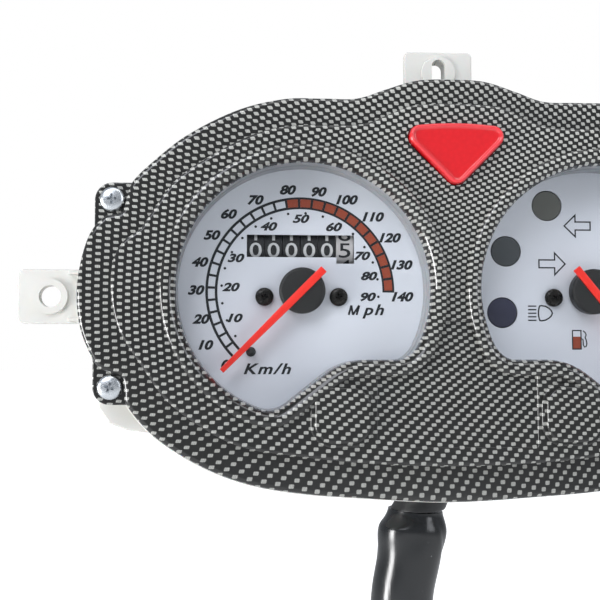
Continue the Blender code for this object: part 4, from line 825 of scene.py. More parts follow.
def mitred(loop, distance):
    """Offset a closed clockwise polygon outwards, keeping its corners sharp."""
    result = []
    for i, point in enumerate(loop):
        before = (point - loop[i - 1]).normalized()
        after = (loop[(i + 1) % len(loop)] - point).normalized()
        first = Vector((-before.y, before.x))
        second = Vector((-after.y, after.x))
        result.append(point + (first + second) * distance / (1 + first.dot(second)))
    return result


def outlined(corners, line):
    """The outer and inner loop of a drawn line round a clockwise polygon given in mm."""
    loop = [Vector(corner) * MM for corner in corners]
    return [mitred(loop, line * MM / 2), mitred(loop, -line * MM / 2)]


def band(corners, line):
    """The loop of a drawn line along an open path given in mm."""
    path = [Vector(corner) * MM for corner in corners]
    left, right = [], []
    for i, point in enumerate(path):
        ahead = (path[min(i + 1, len(path) - 1)] - path[max(i - 1, 0)]).normalized()
        across = Vector((-ahead.y, ahead.x)) * line * MM / 2
        left.append(point + across)
        right.append(point - across)
    return left + right[::-1]


def ink(name, loops):
    """A layer of ink on the dial's face."""
    return slab(name, loops, DIAL_TOP - INK / 2, DIAL_TOP + INK)


def lettering(words, x, up, height, weight=0.0, slant=0.3, spacing=1.0, stretch=1.0):
    """Printed figures, centred on a place in mm; weight thickens their strokes, in mm."""
    bpy.ops.object.select_all(action="DESELECT")
    bpy.ops.object.text_add(location=(0, 0, 0))
    text = bpy.context.object.data
    text.body = words
    text.size = height * 1.42 * MM
    text.shear = slant
    text.offset = weight * MM
    text.space_character = spacing
    text.resolution_u = 5
    text.extrude = INK * 0.75
    bpy.ops.object.convert(target="MESH")
    piece = bpy.context.object
    across = [vertex.co.x for vertex in piece.data.vertices]
    tall = [vertex.co.y for vertex in piece.data.vertices]
    middle = Vector(((min(across) + max(across)) / 2, (min(tall) + max(tall)) / 2, 0))
    piece.data.transform(Matrix.Diagonal((stretch, 1, 1, 1)) @ Matrix.Translation(-middle))
    return weld(upright(piece, x * MM, up * MM, DIAL_TOP + INK / 4))


def joined(name, pieces):
    """One object from several."""
    only(pieces[0])
    for piece in pieces:
        piece.select_set(True)
    bpy.ops.object.join()
    pieces[0].name = name
    return pieces[0]


# Lacquered polycarbonate: cool white and satin, with a very faint cloudiness
plate_white = finish("White lacquered polycarbonate", "#E2E7F0", "#EBEFF5", (28, 2),
                     relief=(2400, 1, 0.06), Roughness=0.38, IOR=1.58)

# Screen ink: matt, its density varying a little with the mesh it was pulled through
INK_MESH = (1500, 2)
black_ink = finish("Black screen ink", "#14181C", "#23282D", INK_MESH, Roughness=0.5)
brown_ink = finish("Red-brown screen ink", "#94402A", "#AE5336", INK_MESH, Roughness=0.5)

holes = [circle(-51.5 * MM, 1.5 * MM, 3 * MM), in_metres(WINDOW),
         circle(*REST_PIN, 1 * MM, 16)]
holes += [circle(x * MM, -0.5 * MM, 1.6 * MM, 24) for x in (-64.5, -38.5)]
dial = slab("speedometer_plate", [grown(opening_outline(-1), 3.2 * MM)] + holes, DIAL_BACK, DIAL_TOP)
dressed(dial, plate_white, "cluster", ["speedometer_dial"])
holes = [circle(51.5 * MM, 1.5 * MM, 3 * MM)]
holes += [circle(x * MM, -0.5 * MM, 1.6 * MM, 24) for x in (38.5, 64.5)]
holes += [circle(x * MM, up * MM, 5.5 * MM) for x, up in WARNING_SPOTS]
dial = slab("fuel_plate", [grown(opening_outline(1), 3.2 * MM)] + holes, DIAL_BACK, DIAL_TOP)
dressed(dial, plate_white, "cluster", ["fuel_dial"])

# Speedometer: a cell for every 5 km/h; the cells from 80 up are filled with red-brown
SCALE_LINE = 0.92
FAST_LINE = 0.7
FAST_START = 99.1
SLOW_CELLS = 16
FAST_CELLS = 12
SLOW_STEP = 7.87
DOT_RING = 27.6 * MM
CELL_EDGES = [SCALE_START - SLOW_STEP * cell for cell in range(SLOW_CELLS)]
CELL_EDGES += [FAST_START - FAST_START / FAST_CELLS * cell for cell in range(FAST_CELLS + 1)]
black_loops = [sector(SPEED_CENTRE, SCALE_IN, SCALE_OUT, SCALE_START + 0.6, SCALE_END - 0.6, 160)]
brown_loops = []
for cell in range(SLOW_CELLS + FAST_CELLS):
    start, end = CELL_EDGES[cell:cell + 2]
    fast = cell >= SLOW_CELLS
    window, fill = scale_cell(SPEED_CENTRE, FAST_LINE if fast else SCALE_LINE, start, end, 0.42, 6)
    black_loops.append(window)
    if fast:
        brown_loops.append(fill)
figures = [ink("scale", black_loops)]
for value, (x, up) in enumerate(KMH_PLACES):
    figures.append(lettering(str(value * 10), x, up, 3.05, 0.2, stretch=1.2))
for value, (x, up) in enumerate(MPH_PLACES):
    figures.append(lettering(str(value * 10 + 10), x, up, 2.75, 0.17, stretch=1.36))
dots = []
for step in range(1, 19):
    angle = math.radians(SCALE_START + 2.5 - 12.85 * step)
    x = SPEED_CENTRE[0] + DOT_RING * math.cos(angle)
    dots.append(circle(x, SPEED_CENTRE[1] + DOT_RING * math.sin(angle), 0.47 * MM, 12))
figures.append(ink("dots", dots))
figures.append(lettering("Km/h", -63.4, -25.6, 3.6, 0.14, 0.3, 1.2, 1.28))
LETTER_M = [[(-34.9, -6.75), (-33.95, -3.4)], [(-33.95, -3.4), (-33.4, -6.7)],
            [(-33.4, -6.7), (-31.15, -3.4)], [(-32.1, -6.75), (-31.15, -3.4)]]
for stroke in LETTER_M:
    figures.append(ink("letter_m", [band(stroke, 0.72)]))
figures.append(lettering("ph", -26.2, -5.5, 3.7, 0.14, 0.3, 1.2, 1.22))
dressed(joined("speedometer_black_print", figures), black_ink, "cluster")
dressed(ink("speedometer_red_print", brown_loops), brown_ink, "cluster")

# Fuel gauge: turn arrows, main beam sign, pump, and a short scale from E to F
left_arrow = [(42.9, 25.4), (46.9, 29.3), (46.9, 26.85), (52.4, 26.85), (52.4, 23.95), (46.9, 23.95),
              (46.9, 21.5)]
right_arrow = [(33.5, 13.1), (39.2, 13.1), (39.2, 15.6), (43.0, 11.7), (39.2, 7.8), (39.2, 10.3),
               (33.5, 10.3)]
figures = [ink("left_arrow", outlined(left_arrow, 0.48)),
           ink("right_arrow", outlined(right_arrow, 0.48))]
beam_bars = [[(29.3, -3.45 - 1.26 * i), (32.3, -3.45 - 1.26 * i)] for i in range(5)]
figures.append(ink("beam_bars", [band(bar, 0.46) for bar in beam_bars]))
lamp_shape = [(33.35, -3.8), (33.6, -3.35), (34.2, -3.25), (35.6, -3.5), (36.9, -4.2), (37.8, -5.1),
              (38.1, -5.95), (37.8, -6.8), (36.9, -7.7), (35.6, -8.4), (34.2, -8.65), (33.6, -8.55),
              (33.35, -8.1), (33.1, -6.9), (33.05, -5.95), (33.1, -5.0)]
figures.append(ink("beam_lamp", outlined(lamp_shape, 0.5)))
pump = [(45.3, -12.1), (48.4, -12.1), (48.4, -18.7), (45.3, -18.7)]
figures.append(ink("pump", outlined(pump, 0.42)))
hose = [(48.5, -15.0), (49.1, -15.3), (49.2, -17.2), (49.6, -18.0), (50.2, -17.8), (50.5, -16.9),
        (50.3, -15.6), (49.9, -14.6), (50.3, -13.6), (49.9, -12.8), (49.2, -12.2)]
figures.append(ink("hose", [band(hose, 0.42)]))
fuel_loops = [sector(FUEL_CENTRE, SCALE_IN, SCALE_OUT, 45.6, -51.6, 90)]
fuel_fill = []
for cell in range(8):
    start = 45 - 12 * cell
    window, fill = scale_cell(FUEL_CENTRE, SCALE_LINE, start, start - 12, 0.38, 8)
    fuel_loops.append(window)
    if cell == 7:
        fuel_fill.append(fill)
figures.append(ink("fuel_scale", fuel_loops))
figures.append(lettering("F", 71.0, 21.0, 3.4, 0.16))
figures.append(lettering("E", 67.6, -15.8, 3.4, 0.16))
dressed(joined("fuel_black_print", figures), black_ink, "cluster")
pump_fill = [(45.52, -14.3), (48.18, -14.3), (48.18, -18.48), (45.52, -18.48)]
fuel_fill.append(in_metres(pump_fill))
dressed(ink("fuel_red_print", fuel_fill), brown_ink, "cluster")

# ------------------------------------------------------------------------------------------------
# Filters: three smoked discs pressed into the dial from behind, dark until their lamps light up.
# ------------------------------------------------------------------------------------------------
FILTER_LOOKS = [("left_turn", "Smoked amber polycarbonate", "#63655F", "#70726C", "turn_filter"),
                ("right_turn", "Smoked green polycarbonate", "#474C4F", "#54595C", "turn_filter"),
                ("high_beam", "Blue polycarbonate", "#2D2F44", "#383A51", "beam_filter")]
for (name, finish_name, deep, pale, slot), (x, up) in zip(FILTER_LOOKS, WARNING_SPOTS):
    tinted, tree, shader = new_material(finish_name, Roughness=0.42, IOR=1.58)
    place = add_node(tree, "TexCoord").outputs["Object"]
    axes = add_node(tree, "SeparateXYZ", {0: place})
    # Painted shade: each disc is painted darker towards its bottom and paler towards its top, the blend
    # broken up by grit
    level = add_node(tree, "MapRange", {0: axes.outputs["Z"], 1: (up - 5) * MM, 2: (up + 5) * MM,
                                        3: 0.1, 4: 0.9})
    grit = add_node(tree, "TexNoise", {"Vector": place, "Scale": 1200.0, "Detail": 2.0})
    blend = add_node(tree, "Math", {0: grit, 1: 0.35, 2: -0.17}, operation="MULTIPLY_ADD")
    depth = add_node(tree, "Math", {0: level, 1: blend}, operation="ADD", use_clamp=True)
    tint = add_node(tree, "Mix", {0: depth, 6: linear(deep), 7: linear(pale)}, data_type="RGBA")
    tree.links.new(tint.outputs[2], shader.inputs["Base Color"])
    profile = [(0, 13.9), (4.9, 13.9), (5.12, 13.82), (5.2, 13.7), (5.2, 13.3), (5.1, 13.15),
               (4.9, 13.1), (0, 13.1)]
    disc = turned(f"{name}_disc", in_metres(profile), 64, x * MM, up * MM)
    dressed(disc, tinted, "cluster", [f"{name}_filter"])

# ------------------------------------------------------------------------------------------------
# Pointers: a red needle pressed into the slot of a turned black hub, which grips the gauge's spindle.
# ------------------------------------------------------------------------------------------------
NEEDLE_REACH = 39.2 * MM
NEEDLE_TAIL = 10.4 * MM
NEEDLE_WIDTH = 2.7 * MM
HUB_PROFILE = [(0, 20.2), (6.9, 20.2), (7.35, 20.14), (7.72, 19.94), (7.93, 19.6), (8.0, 19.2),
               (8.0, 16.4), (7.9, 16.2), (7.9, 15.7), (7.75, 15.5), (0, 15.5)]

# Red ABS: satin, with a faint painted glow from its emission that makes it a little brighter than the light
# on it
needle_red = finish("Red ABS with painted glow", "#E8241A", "#FA382B", (260, 2), relief=(2200, 1, 0.1),
                    Roughness=0.35, IOR=1.53, Emission_Color=linear("#F12E22"), Emission_Strength=0.07)

# Moulded black plastic: matt from its spark-eroded mould, a grain of about 0.2 mm
black_plastic = finish("Moulded black ABS", "#151616", "#242524", (140, 2), relief=(2600, 2, 0.3),
                       Roughness=0.48, IOR=1.53)

for gauge, side, angle in (("speedometer", -1, 225.0), ("fuel", 1, -51.0)):
    rider = "speed_pointer" if side < 0 else "fuel_pointer"
    turn = Matrix.Rotation(math.radians(angle), 4, "Z")
    needle = boxed(f"{gauge}_pointer", ((NEEDLE_REACH - NEEDLE_TAIL) / 2, 0, 20.1 * MM),
                   (NEEDLE_REACH + NEEDLE_TAIL, NEEDLE_WIDTH, 1.4 * MM))
    only(needle)
    bpy.ops.object.mode_set(mode="EDIT")
    bpy.ops.mesh.select_all(action="SELECT")
    bpy.ops.mesh.bisect(plane_co=(8 * MM, 0, 0), plane_no=(1, 0, 0))
    bpy.ops.mesh.select_all(action="SELECT")
    bpy.ops.mesh.bisect(plane_co=(0, 0, 0), plane_no=(0, 1, 0))
    bpy.ops.object.mode_set(mode="OBJECT")
    for vertex in needle.data.vertices:
        if vertex.co.x > 30 * MM:
            vertex.co.y *= 1.8 / 2.7
        if vertex.co.z > 20 * MM and abs(vertex.co.y) > 0.1 * MM:
            vertex.co.z -= 0.22 * MM
    soften = needle.modifiers.new("Rounding", "BEVEL")
    soften.width = 0.16 * MM
    soften.segments = 2
    soften.limit_method = "ANGLE"
    soften.angle_limit = math.radians(40)
    bpy.ops.object.modifier_apply(modifier="Rounding")
    needle.data.transform(turn)
    upright(needle, side * DIAL_X, DIAL_Z, 0)
    dressed(needle, needle_red, rider, [f"{gauge}_needle"], 30)
    hub = turned(f"{gauge}_boss", in_metres(HUB_PROFILE), 96, side * DIAL_X, DIAL_Z)
    slot = boxed("slot", (0, 0, 21.25 * MM), (22 * MM, 3.0 * MM, 4.0 * MM))
    slot.data.transform(turn)
    socket = turned("socket", rod(1.1 * MM, 13 * MM, 18 * MM), 32, side * DIAL_X, DIAL_Z)
    cut(hub, [upright(slot, side * DIAL_X, DIAL_Z, 0), socket])
    dressed(hub, black_plastic, rider, [f"{gauge}_hub"], 32)

# ------------------------------------------------------------------------------------------------
# Pointer rest: a small pin with a soft sleeve, pressed into the dial, that the needle leans on at zero.
# ------------------------------------------------------------------------------------------------
PIN_PROFILE = [(0, 20.2), (0.7, 20.2), (0.98, 20.08), (1.12, 19.85), (1.15, 19.5), (1.15, 15.3),
               (1.35, 15.1), (1.6, 15.05), (1.7, 14.9), (1.7, 14.4), (1.6, 14.3), (0.7, 14.3),
               (0.7, 12.1), (0.6, 12.0), (0, 12.0)]
pin = turned("pointer_rest", in_metres(PIN_PROFILE), 40, *REST_PIN)
dressed(pin, black_plastic, "cluster", ["pointer_rest_pin"], 40)

# ------------------------------------------------------------------------------------------------
# Screws: cold-headed pan heads with a cross recess. Zinc-plated ones clamp the bezel's ears to the
# housing, and four small black ones hold the dials down on their movements.
# ------------------------------------------------------------------------------------------------
def recess_cutter(arm, width, depth):
    """A tapered cross, its open end at z = 0 and its point down at -depth."""
    blades = []
    for angle in (0, math.pi / 2):
        blade = boxed("blade", (0, 0, -depth / 2 + 0.3 * MM), (arm * 2, width, depth + 0.6 * MM))
        for vertex in blade.data.vertices:
            if vertex.co.z < -depth * 0.5:
                vertex.co.x *= 0.3
                vertex.co.y *= 0.55
        blade.data.transform(Matrix.Rotation(angle, 4, "Z"))
        blades.append(blade)
    return fused(blades[0], blades[1:])


def cross_screw(name, head, height, shank, seat, tip, turned_by):
    """A pan head screw standing on its seat height, its local z along its axis."""
    top = seat + height
    profile = [(0, top)]
    for i in range(1, 9):
        a = math.radians(90 * i / 8)
        profile.append((head * math.sin(a) ** 0.8, top - height * 0.72 * (1 - math.cos(a) ** 0.75)))
    profile += [(head, seat + 0.12 * MM), (head - 0.12 * MM, seat), (shank, seat)]
    pitch = shank * 0.55
    level = seat - 1.2 * MM
    while level - pitch > tip + shank:
        profile += [(shank, level), (shank * 0.8, level - pitch * 0.5)]
        level -= pitch
    profile += [(shank * 0.85, tip + shank), (0, tip)]
    screw = weld(revolved(name, profile, 48))
    cutter = recess_cutter(head * 0.52, head * 0.24, height * 0.66)
    turn = Matrix.Rotation(math.radians(turned_by), 4, "Z")
    cutter.data.transform(Matrix.Translation((0, 0, top)) @ turn)
    return cut(screw, [cutter])


# Bright zinc plate on steel: silvery with a hint of blue, fine scratches round the head
zinc = finish("Bright zinc-plated steel", "#B9BEC3", "#DDE0E2", (420, 3), (3000, 2, 0.18, 0.42),
              (3000, 2, 0.12), Metallic=1.0, Roughness=0.28)

# Black zinc plate: dark, oily and half glossy
black_zinc = finish("Black zinc-plated steel", "#151515", "#34322E", (700, 3), (700, 3, 0.2, 0.38),
                    Metallic=0.55, Roughness=0.3)

for side, side_name in ((-1, "left"), (1, "right")):
    for (x, up), level in zip(EARS, ("upper", "lower")):
        turned_by = 12 + 31 * side + (20 if level == "upper" else 0)
        screw = cross_screw(f"ear_screw_{side_name}_{level}", 4.2 * MM, 2.5 * MM, 1.9 * MM,
                            EAR_TOP + 0.3 * MM, 5 * MM, turned_by)
        upright(screw, side * x, up, 0)
        dressed(screw, zinc, "cluster", [f"bezel_screw_{side_name}_{level}"], 32)
for gauge, side, tip in (("speedometer", -1, 4.0), ("fuel", 1, 9.0)):
    for offset, which, spin in ((-13, "left", 10), (13, "right", 38)):
        screw = cross_screw(f"{gauge}_plate_screw_{which}", 3.2 * MM, 1.85 * MM, 1.3 * MM, 14.3 * MM,
                            tip * MM, spin + 25 * side)
        upright(screw, side * DIAL_X + offset * MM, -0.5 * MM, 0)
        dressed(screw, black_zinc, "cluster", [f"{gauge}_dial_screw_{which}"], 32)

# ------------------------------------------------------------------------------------------------
# Odometer drums: moulded rings with ten printed figures each. Five are black with white figures, and
# the tenths drum on the right is pale with black figures and carries the gear that drives it.
# ------------------------------------------------------------------------------------------------
DRUM_RADIUS = 9.6
AXLE_PLACE = (-2.6 * MM, 17.4 * MM)
DRUM_PROFILE = [(9.45, 3.05), (9.56, 3.02), (9.6, 2.93), (9.6, -2.93), (9.56, -3.02), (9.45, -3.05),
                (7.6, -3.05), (7.5, -2.6), (4.0, -2.6), (3.9, -2.95), (1.3, -2.95), (1.3, 2.95),
                (3.9, 2.95), (4.0, 2.6), (7.5, 2.6), (7.6, 3.05)]
FIGURE_DROP = 1.25
along_axle = Matrix.Translation((0, *AXLE_PLACE)) @ Matrix.Rotation(math.pi / 2, 4, "Y")


def wrapped_figure(value, turned_back, weight, stretch):
    """One printed figure, bent round the drum, for a drum centred on x = 0."""
    bpy.ops.object.select_all(action="DESELECT")
    bpy.ops.object.text_add(location=(0, 0, 0))
    text = bpy.context.object.data
    text.body = str(value)
    text.size = 7.4 * MM
    text.offset = weight * MM
    text.resolution_u = 4
    text.extrude = 0.05 * MM
    bpy.ops.object.convert(target="MESH")
    piece = weld(bpy.context.object)
    shape = bmesh.new()
    shape.from_mesh(piece.data)
    for cut_at in range(-2, 20):
        whole = shape.verts[:] + shape.edges[:] + shape.faces[:]
        bmesh.ops.bisect_plane(shape, geom=whole, plane_co=(0, cut_at * 0.3 * MM, 0),
                               plane_no=(0, 1, 0))
    across = [vertex.co.x for vertex in shape.verts]
    tall = [vertex.co.y for vertex in shape.verts]
    for vertex in shape.verts:
        x = (vertex.co.x - (min(across) + max(across)) / 2) * stretch
        angle = (vertex.co.y - (min(tall) + max(tall)) / 2) / (DRUM_RADIUS * MM)
        angle += math.radians(36 * (value - turned_back)) - FIGURE_DROP / DRUM_RADIUS
        radius = DRUM_RADIUS * MM + vertex.co.z
        vertex.co = (x, AXLE_PLACE[0] - radius * math.cos(angle), AXLE_PLACE[1] + radius * math.sin(angle))
    shape.to_mesh(piece.data)
    shape.free()
    return piece


# Acetal: smooth and softly glossy; the ink on it is matt
white_ink = finish("White screen ink", "#C9CBCB", "#E2E3E2", INK_MESH, Roughness=0.5)
drum_black = finish("Moulded black acetal", "#1E1F20", "#303133", (300, 3), Roughness=0.42, IOR=1.48)
drum_white = finish("Moulded grey-white acetal", "#BDBBBA", "#CFCDCC", (300, 3), Roughness=0.42,
                    IOR=1.48)
for name, showing, weight, stretch in (("units", 0, 0.04, 1.27), ("tenths", 5, 0.04, 1.4)):
    ring_of_figures = [wrapped_figure(value, showing, weight, stretch) for value in range(10)]
    figures = joined(f"{name}_figures", ring_of_figures)
    for number in range(1, 6) if name == "units" else [6]:
        x = (-70.7 + 6.3 * (number - 0.5)) * MM
        drum = revolved(f"drum_{number}_ring", in_metres(DRUM_PROFILE), 120)
        drum.data.transform(along_axle)
        shifted(drum, (x, 0, 0))
        if number == 6:
            teeth = []
            for tooth in range(20):
                for share, radius in ((-0.25, 6.8), (-0.12, 7.8), (0.12, 7.8), (0.25, 6.8)):
                    a = 2 * math.pi * (tooth + share) / 20
                    teeth.append(Vector((radius * math.cos(a), -radius * math.sin(a))) * MM)
            gear = slab("tenths_teeth", [teeth, circle(0, 0, 1.5 * MM, 32)], 0, 2.6 * MM, 0.12 * MM)
            gear.data.transform(Matrix.Rotation(-math.pi / 2, 4, "X"))
            gear.data.transform(along_axle)
            shifted(gear, (-33.1 * MM, 0, 0))
            fused(drum, [gear])
        body = f"drum_{number}"
        dressed(drum, drum_white if number == 6 else drum_black, body, [f"odometer_drum_{number}"],
                35)
        print_copy = figures.copy()
        print_copy.data = figures.data.copy()
        print_copy.name = f"drum_{number}_figures"
        bpy.context.collection.objects.link(print_copy)
        shifted(print_copy, (x, 0, 0))
        dressed(print_copy, black_ink if number == 6 else white_ink, body)
    bpy.data.objects.remove(figures)

# ------------------------------------------------------------------------------------------------
# Rear housing: a deep white ABS tub with the mounting tabs, screw ears and lug gussets moulded on.
# Its rim carries the bezel; the back wall takes the lamps, the cable boss and the movement's posts.
# ------------------------------------------------------------------------------------------------
HOUSING_BACK = -30.0 * MM
TAB_TOP = 3.0 * MM
TAB_END = 152.0 * MM
TAB_HALF = 9.7 * MM
TAB_HOLE_X = 140.4 * MM
TOP_BOSS_Z = 83.3 * MM
LAMP_SPOTS = WARNING_SPOTS + [(-81.5, -16.5), (81.5, -16.5), (0.0, 48.0)]
POSTS = [(-75.5 * MM, -8.0 * MM), (-27.5 * MM, -8.0 * MM)]


def pipe(outer, inner, low, high):
    """Profile of a tube."""
    return [(inner, high), (outer, high), (outer, low), (inner, low)]


outline_keys = mirrored(FLANGE_HALF)
tub_outline = smoothed(grown(outline_keys, -3.5 * MM), 5)
housing = slab("rear_tub", [tub_outline], HOUSING_BACK, RIM_TOP - 0.4 * MM, 1.5 * MM, 4)
parts = [slab("rim", [smoothed(grown(outline_keys, 1.0 * MM), 5)], 15.8 * MM, RIM_TOP, 0.5 * MM)]
for side in (-1, 1):
    for x, up in EARS:
        post = ear_outline(side * x, up, 5.8 * MM)
        parts.append(slab("ear_post", [post], 0.2 * MM, RIM_TOP - 0.2 * MM, 0.4 * MM))
    corners = [(118 * MM, TAB_HALF), (TAB_END, TAB_HALF), (TAB_END, -TAB_HALF), (118 * MM, -TAB_HALF)]
    tab = [Vector((side * point.x, point.y)) for point in rounded_polygon(corners, 2.4 * MM)]
    parts.append(slab("side_tab", [tab], 0, TAB_TOP, 0.45 * MM))
    collar = pipe(6.2 * MM, 3.9 * MM, 2 * MM, TAB_TOP + 1.2 * MM)
    parts.append(turned("hole_collar", collar, 48, side * TAB_HOLE_X, 0))
    lug = [(104, -36), (122, -33), (122, -39), (118, -44.6), (111.5, -47), (103, -48)]
    parts.append(slab("lug", [[(side * x * MM, up * MM) for x, up in lug]], 5 * MM, 12 * MM, 0.8 * MM))
    for up in (-8.9 * MM, 7.6 * MM):
        rib = [(side * 122 * MM, up), (side * 133.5 * MM, up), (side * 133.5 * MM, up + 1.3 * MM),
               (side * 122 * MM, up + 1.3 * MM)]
        parts.append(slab("tab_rib", [rib], 2 * MM, 7.5 * MM, 0.3 * MM))
corners = [(-12.6 * MM, 91.3 * MM), (12.6 * MM, 91.3 * MM), (12.6 * MM, 66 * MM), (-12.6 * MM, 66 * MM)]
parts.append(slab("top_tab", [rounded_polygon(corners, 1.8 * MM)], 0, TAB_TOP, 0.45 * MM))
boss = [(0, 3.8), (6.0, 3.8), (6.3, 3.7), (6.4, 3.4), (6.4, -3.3), (6.3, -3.6), (6.0, -3.7), (0, -3.7)]
parts.append(turned("top_boss", in_metres(boss), 64, 0, TOP_BOSS_Z))
fused(housing, parts)
slot = arc(0, 2.6 * MM, 2.5 * MM, 180, 0, 16) + arc(0, -2.6 * MM, 2.5 * MM, 0, -180, 16)
tools = [slab("hollow", [smoothed(grown(outline_keys, -5.7 * MM), 5)], HOUSING_BACK + SHELL_WALL, 40 * MM),
         slab("top_slot", [[point + Vector((0, TOP_BOSS_Z)) for point in slot]], -9 * MM, 9 * MM)]
for side in (-1, 1):
    tools.append(turned("tab_hole", rod(3.75 * MM, -4 * MM, 8 * MM), 64, side * TAB_HOLE_X, 0))
    for x, up in EARS:
        tools.append(turned("pilot", rod(2.1 * MM, 3 * MM, 30 * MM), 24, side * x, up))
cut(housing, tools)
post = pipe(3.6 * MM, 1.7 * MM, HOUSING_BACK + MM, -8.8 * MM)
fused(housing, [turned("post", post, 32, x, up) for x, up in POSTS])
HOLE_ENDS = (-33 * MM, -26 * MM)
tools = [turned("lamp_hole", rod(5.3 * MM, *HOLE_ENDS), 40, x * MM, up * MM) for x, up in LAMP_SPOTS]
tools += [turned("mount_hole", rod(1.7 * MM, *HOLE_ENDS), 24, x, up) for x, up in POSTS]
tools.append(turned("cable_hole", rod(6.3 * MM, *HOLE_ENDS), 48, -DIAL_X, DIAL_Z))
bpy.ops.object.select_all(action="DESELECT")
bpy.ops.mesh.primitive_cylinder_add(vertices=64, radius=9.6 * MM, depth=14 * MM,
                                    location=(BOOT_X, BOOT_DEPTH, -67 * MM))
harness_hole = bpy.context.object
bpy.ops.object.transform_apply(location=True, rotation=True, scale=True)
cut(housing, tools + [harness_hole])
weld(housing)

# Moulded ABS: slightly warm white, satin, with a fine mould grain and soft flow clouds
white_abs = finish("Moulded white ABS", "#C9C8C2", "#D9D8D3", (24, 3), relief=(1500, 2, 0.12),
                   Roughness=0.42, IOR=1.53, Subsurface_Weight=0.08, Subsurface_Scale=0.002)
dressed(housing, white_abs, "cluster", ["rear_housing"], 32)

# ------------------------------------------------------------------------------------------------
# Cable boss: a die-cast zinc flange and threaded tube, riveted to the back wall, that takes the
# speedometer cable's knurled nut.
# ------------------------------------------------------------------------------------------------
boss = [(2.0, -25.5), (9.6, -25.5), (9.9, -25.6), (10.0, -25.9), (10.0, -27.3), (9.8, -27.5),
        (6.0, -27.5), (6.0, -32.6)]
for i in range(11):
    level = -33.0 - 1.0 * i
    boss += [(6.0, level), (5.95, level - 0.12), (5.42, level - 0.45), (5.42, level - 0.6),
             (5.95, level - 0.9)]
boss += [(6.0, -44.1), (6.0, -45.3), (5.5, -46.0), (3.7, -46.0), (3.4, -45.7), (3.4, -36.0),
         (2.0, -36.0)]
cable_boss = turned("threaded_boss", in_metres(boss), 72, -DIAL_X, DIAL_Z)

# Die-cast zinc: dull silver-grey, with a fine cast skin
die_cast = finish("Die-cast zinc", "#8E9195", "#B4B7BA", (90, 2), (900, 3, 0.32, 0.55), (900, 3, 0.2),
                  Metallic=1.0, Roughness=0.42)
dressed(cable_boss, die_cast, "cluster", ["cable_boss"], 35)

# ------------------------------------------------------------------------------------------------
# Lamp sockets: rubber plugs with a pull flange and a finger grip, pushed into the back wall, each
# with a small glass bulb on its inner end.
# ------------------------------------------------------------------------------------------------
SOCKET_PROFILE = [(0, -10.0), (0.9, -10.15), (1.7, -10.7), (2.4, -11.8), (2.9, -13.0), (3.1, -14.8),
                  (3.1, -16.0), (2.8, -18.6), (2.4, -21.0), (2.4, -25.0), (4.7, -25.0), (5.0, -25.4),
                  (5.0, -27.4), (4.7, -27.8), (4.7, -30.2), (5.0, -30.3), (6.7, -30.3), (7.0, -30.6),
                  (7.0, -31.9), (6.7, -32.3), (5.2, -32.6), (4.7, -33.2), (4.4, -34.4), (4.5, -35.3),
                  (4.2, -35.9), (3.9, -36.0), (0, -36.0)]
socket_profile = in_metres(SOCKET_PROFILE)
LAMPS = ("left_turn", "right_turn", "high_beam", "speedometer", "fuel_gauge", "warning")
for name, (x, up) in zip(LAMPS, LAMP_SPOTS):
    socket = turned(f"{name}_socket", socket_profile, 56, x * MM, up * MM)
    grips = []
    for k in range(10):
        a = 2 * math.pi * k / 10
        grips.append(turned("grip", rod(0.55 * MM, -31.9 * MM, -30.8 * MM), 12,
                            x * MM + 7.1 * MM * math.cos(a), up * MM + 7.1 * MM * math.sin(a)))
    blade = (0.9 * MM, 2.4 * MM, 3.2 * MM)
    blades = [boxed("blade_slot", (x * MM + offset * MM, 36.2 * MM, up * MM), blade)
              for offset in (-1.5, 1.5)]
    cut(socket, grips + blades)
    dressed(socket, rubber, "cluster", [f"{name}_lamp"], 35)

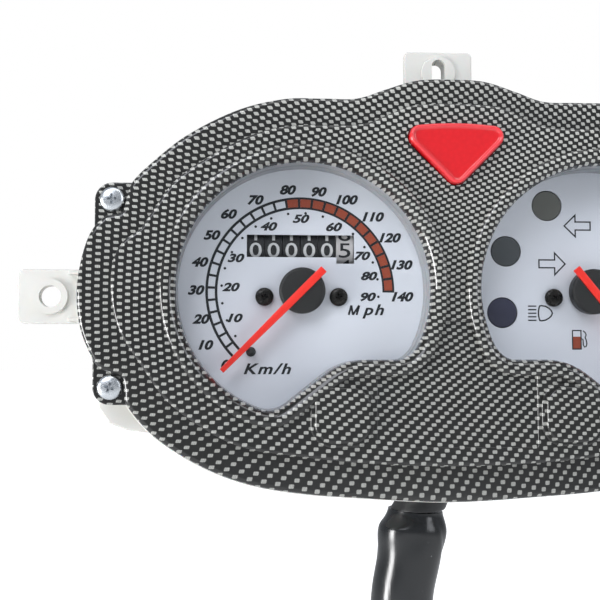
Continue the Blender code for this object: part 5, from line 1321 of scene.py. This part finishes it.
# ------------------------------------------------------------------------------------------------
# Pieces inside the tub that keep their turned or stamped shapes: gasket, movement, gear train, fuel
# gauge, light tubes and loom. Each takes the finish that the real one has.
# ------------------------------------------------------------------------------------------------
# Name, colours, grain per metre, roughness, relief and the rest of each finish
METAL = {"Metallic": 1.0}
INNER_FINISHES = {
    "steel": ("Ground steel", "#8C8F92", "#B5B8BA", 2400, 0.28, 0.1, METAL),
    "aluminium": ("Spun aluminium", "#B9BBBD", "#D5D6D7", 1800, 0.34, 0.1, METAL),
    "ferrite": ("Sintered ferrite", "#26272A", "#3C3D41", 1500, 0.6, 0.3, {}),
    "bronze": ("Phosphor bronze strip", "#8A5A2B", "#B37C42", 2200, 0.3, 0.08, METAL),
    "acetal": ("Moulded natural acetal", "#CFCDC2", "#E2E0D6", 1200, 0.42, 0.1, {"IOR": 1.48}),
    "grey_abs": ("Moulded grey ABS", "#5B5D5F", "#737577", 1500, 0.5, 0.15, {"IOR": 1.53}),
    "copper": ("Enamelled copper winding", "#8B3F1C", "#C0693A", 2600, 0.35, 0.5, {"Metallic": 0.9}),
    "laminate": ("Phenolic laminate board", "#5E3A1E", "#7E5430", 900, 0.45, 0.15, {"IOR": 1.6}),
    "loom_tape": ("Black wiring tape", "#121314", "#252628", 1100, 0.5, 0.4, {"IOR": 1.5})}
inner = {"rubber": rubber, "die_cast": die_cast, "black_plastic": black_plastic}
for key, (name, deep, pale, grain, rough, bump, constants) in INNER_FINISHES.items():
    inner[key] = finish(name, deep, pale, (grain * 0.12, 2), (grain, 3, rough - 0.08, rough + 0.1),
                        (grain, 3, bump), **constants)
INNER_PIECES = {"rubber": ["gasket"], "steel": ["drive_shaft", "odometer_axle"],
                "aluminium": ["speed_cup_spindle"],
                "die_cast": ["movement_bridge", "movement_plate", "movement_can", "odometer_frame"],
                "ferrite": ["drive_magnet", "fuel_rotor_spindle"], "bronze": ["hairspring"],
                "acetal": ["cross_shaft", "transfer_shaft", "carry_pinion_shaft"],
                "grey_abs": ["fuel_gauge_can"], "copper": ["fuel_coil"], "laminate": ["terminal_board"],
                "black_plastic": ["light_tubes"], "loom_tape": ["wire_loom"]}
for key, nodes in INNER_PIECES.items():
    for node in nodes:
        kept = bpy.data.objects[node]
        kept.data.materials.clear()
        kept.data.materials.append(inner[key])
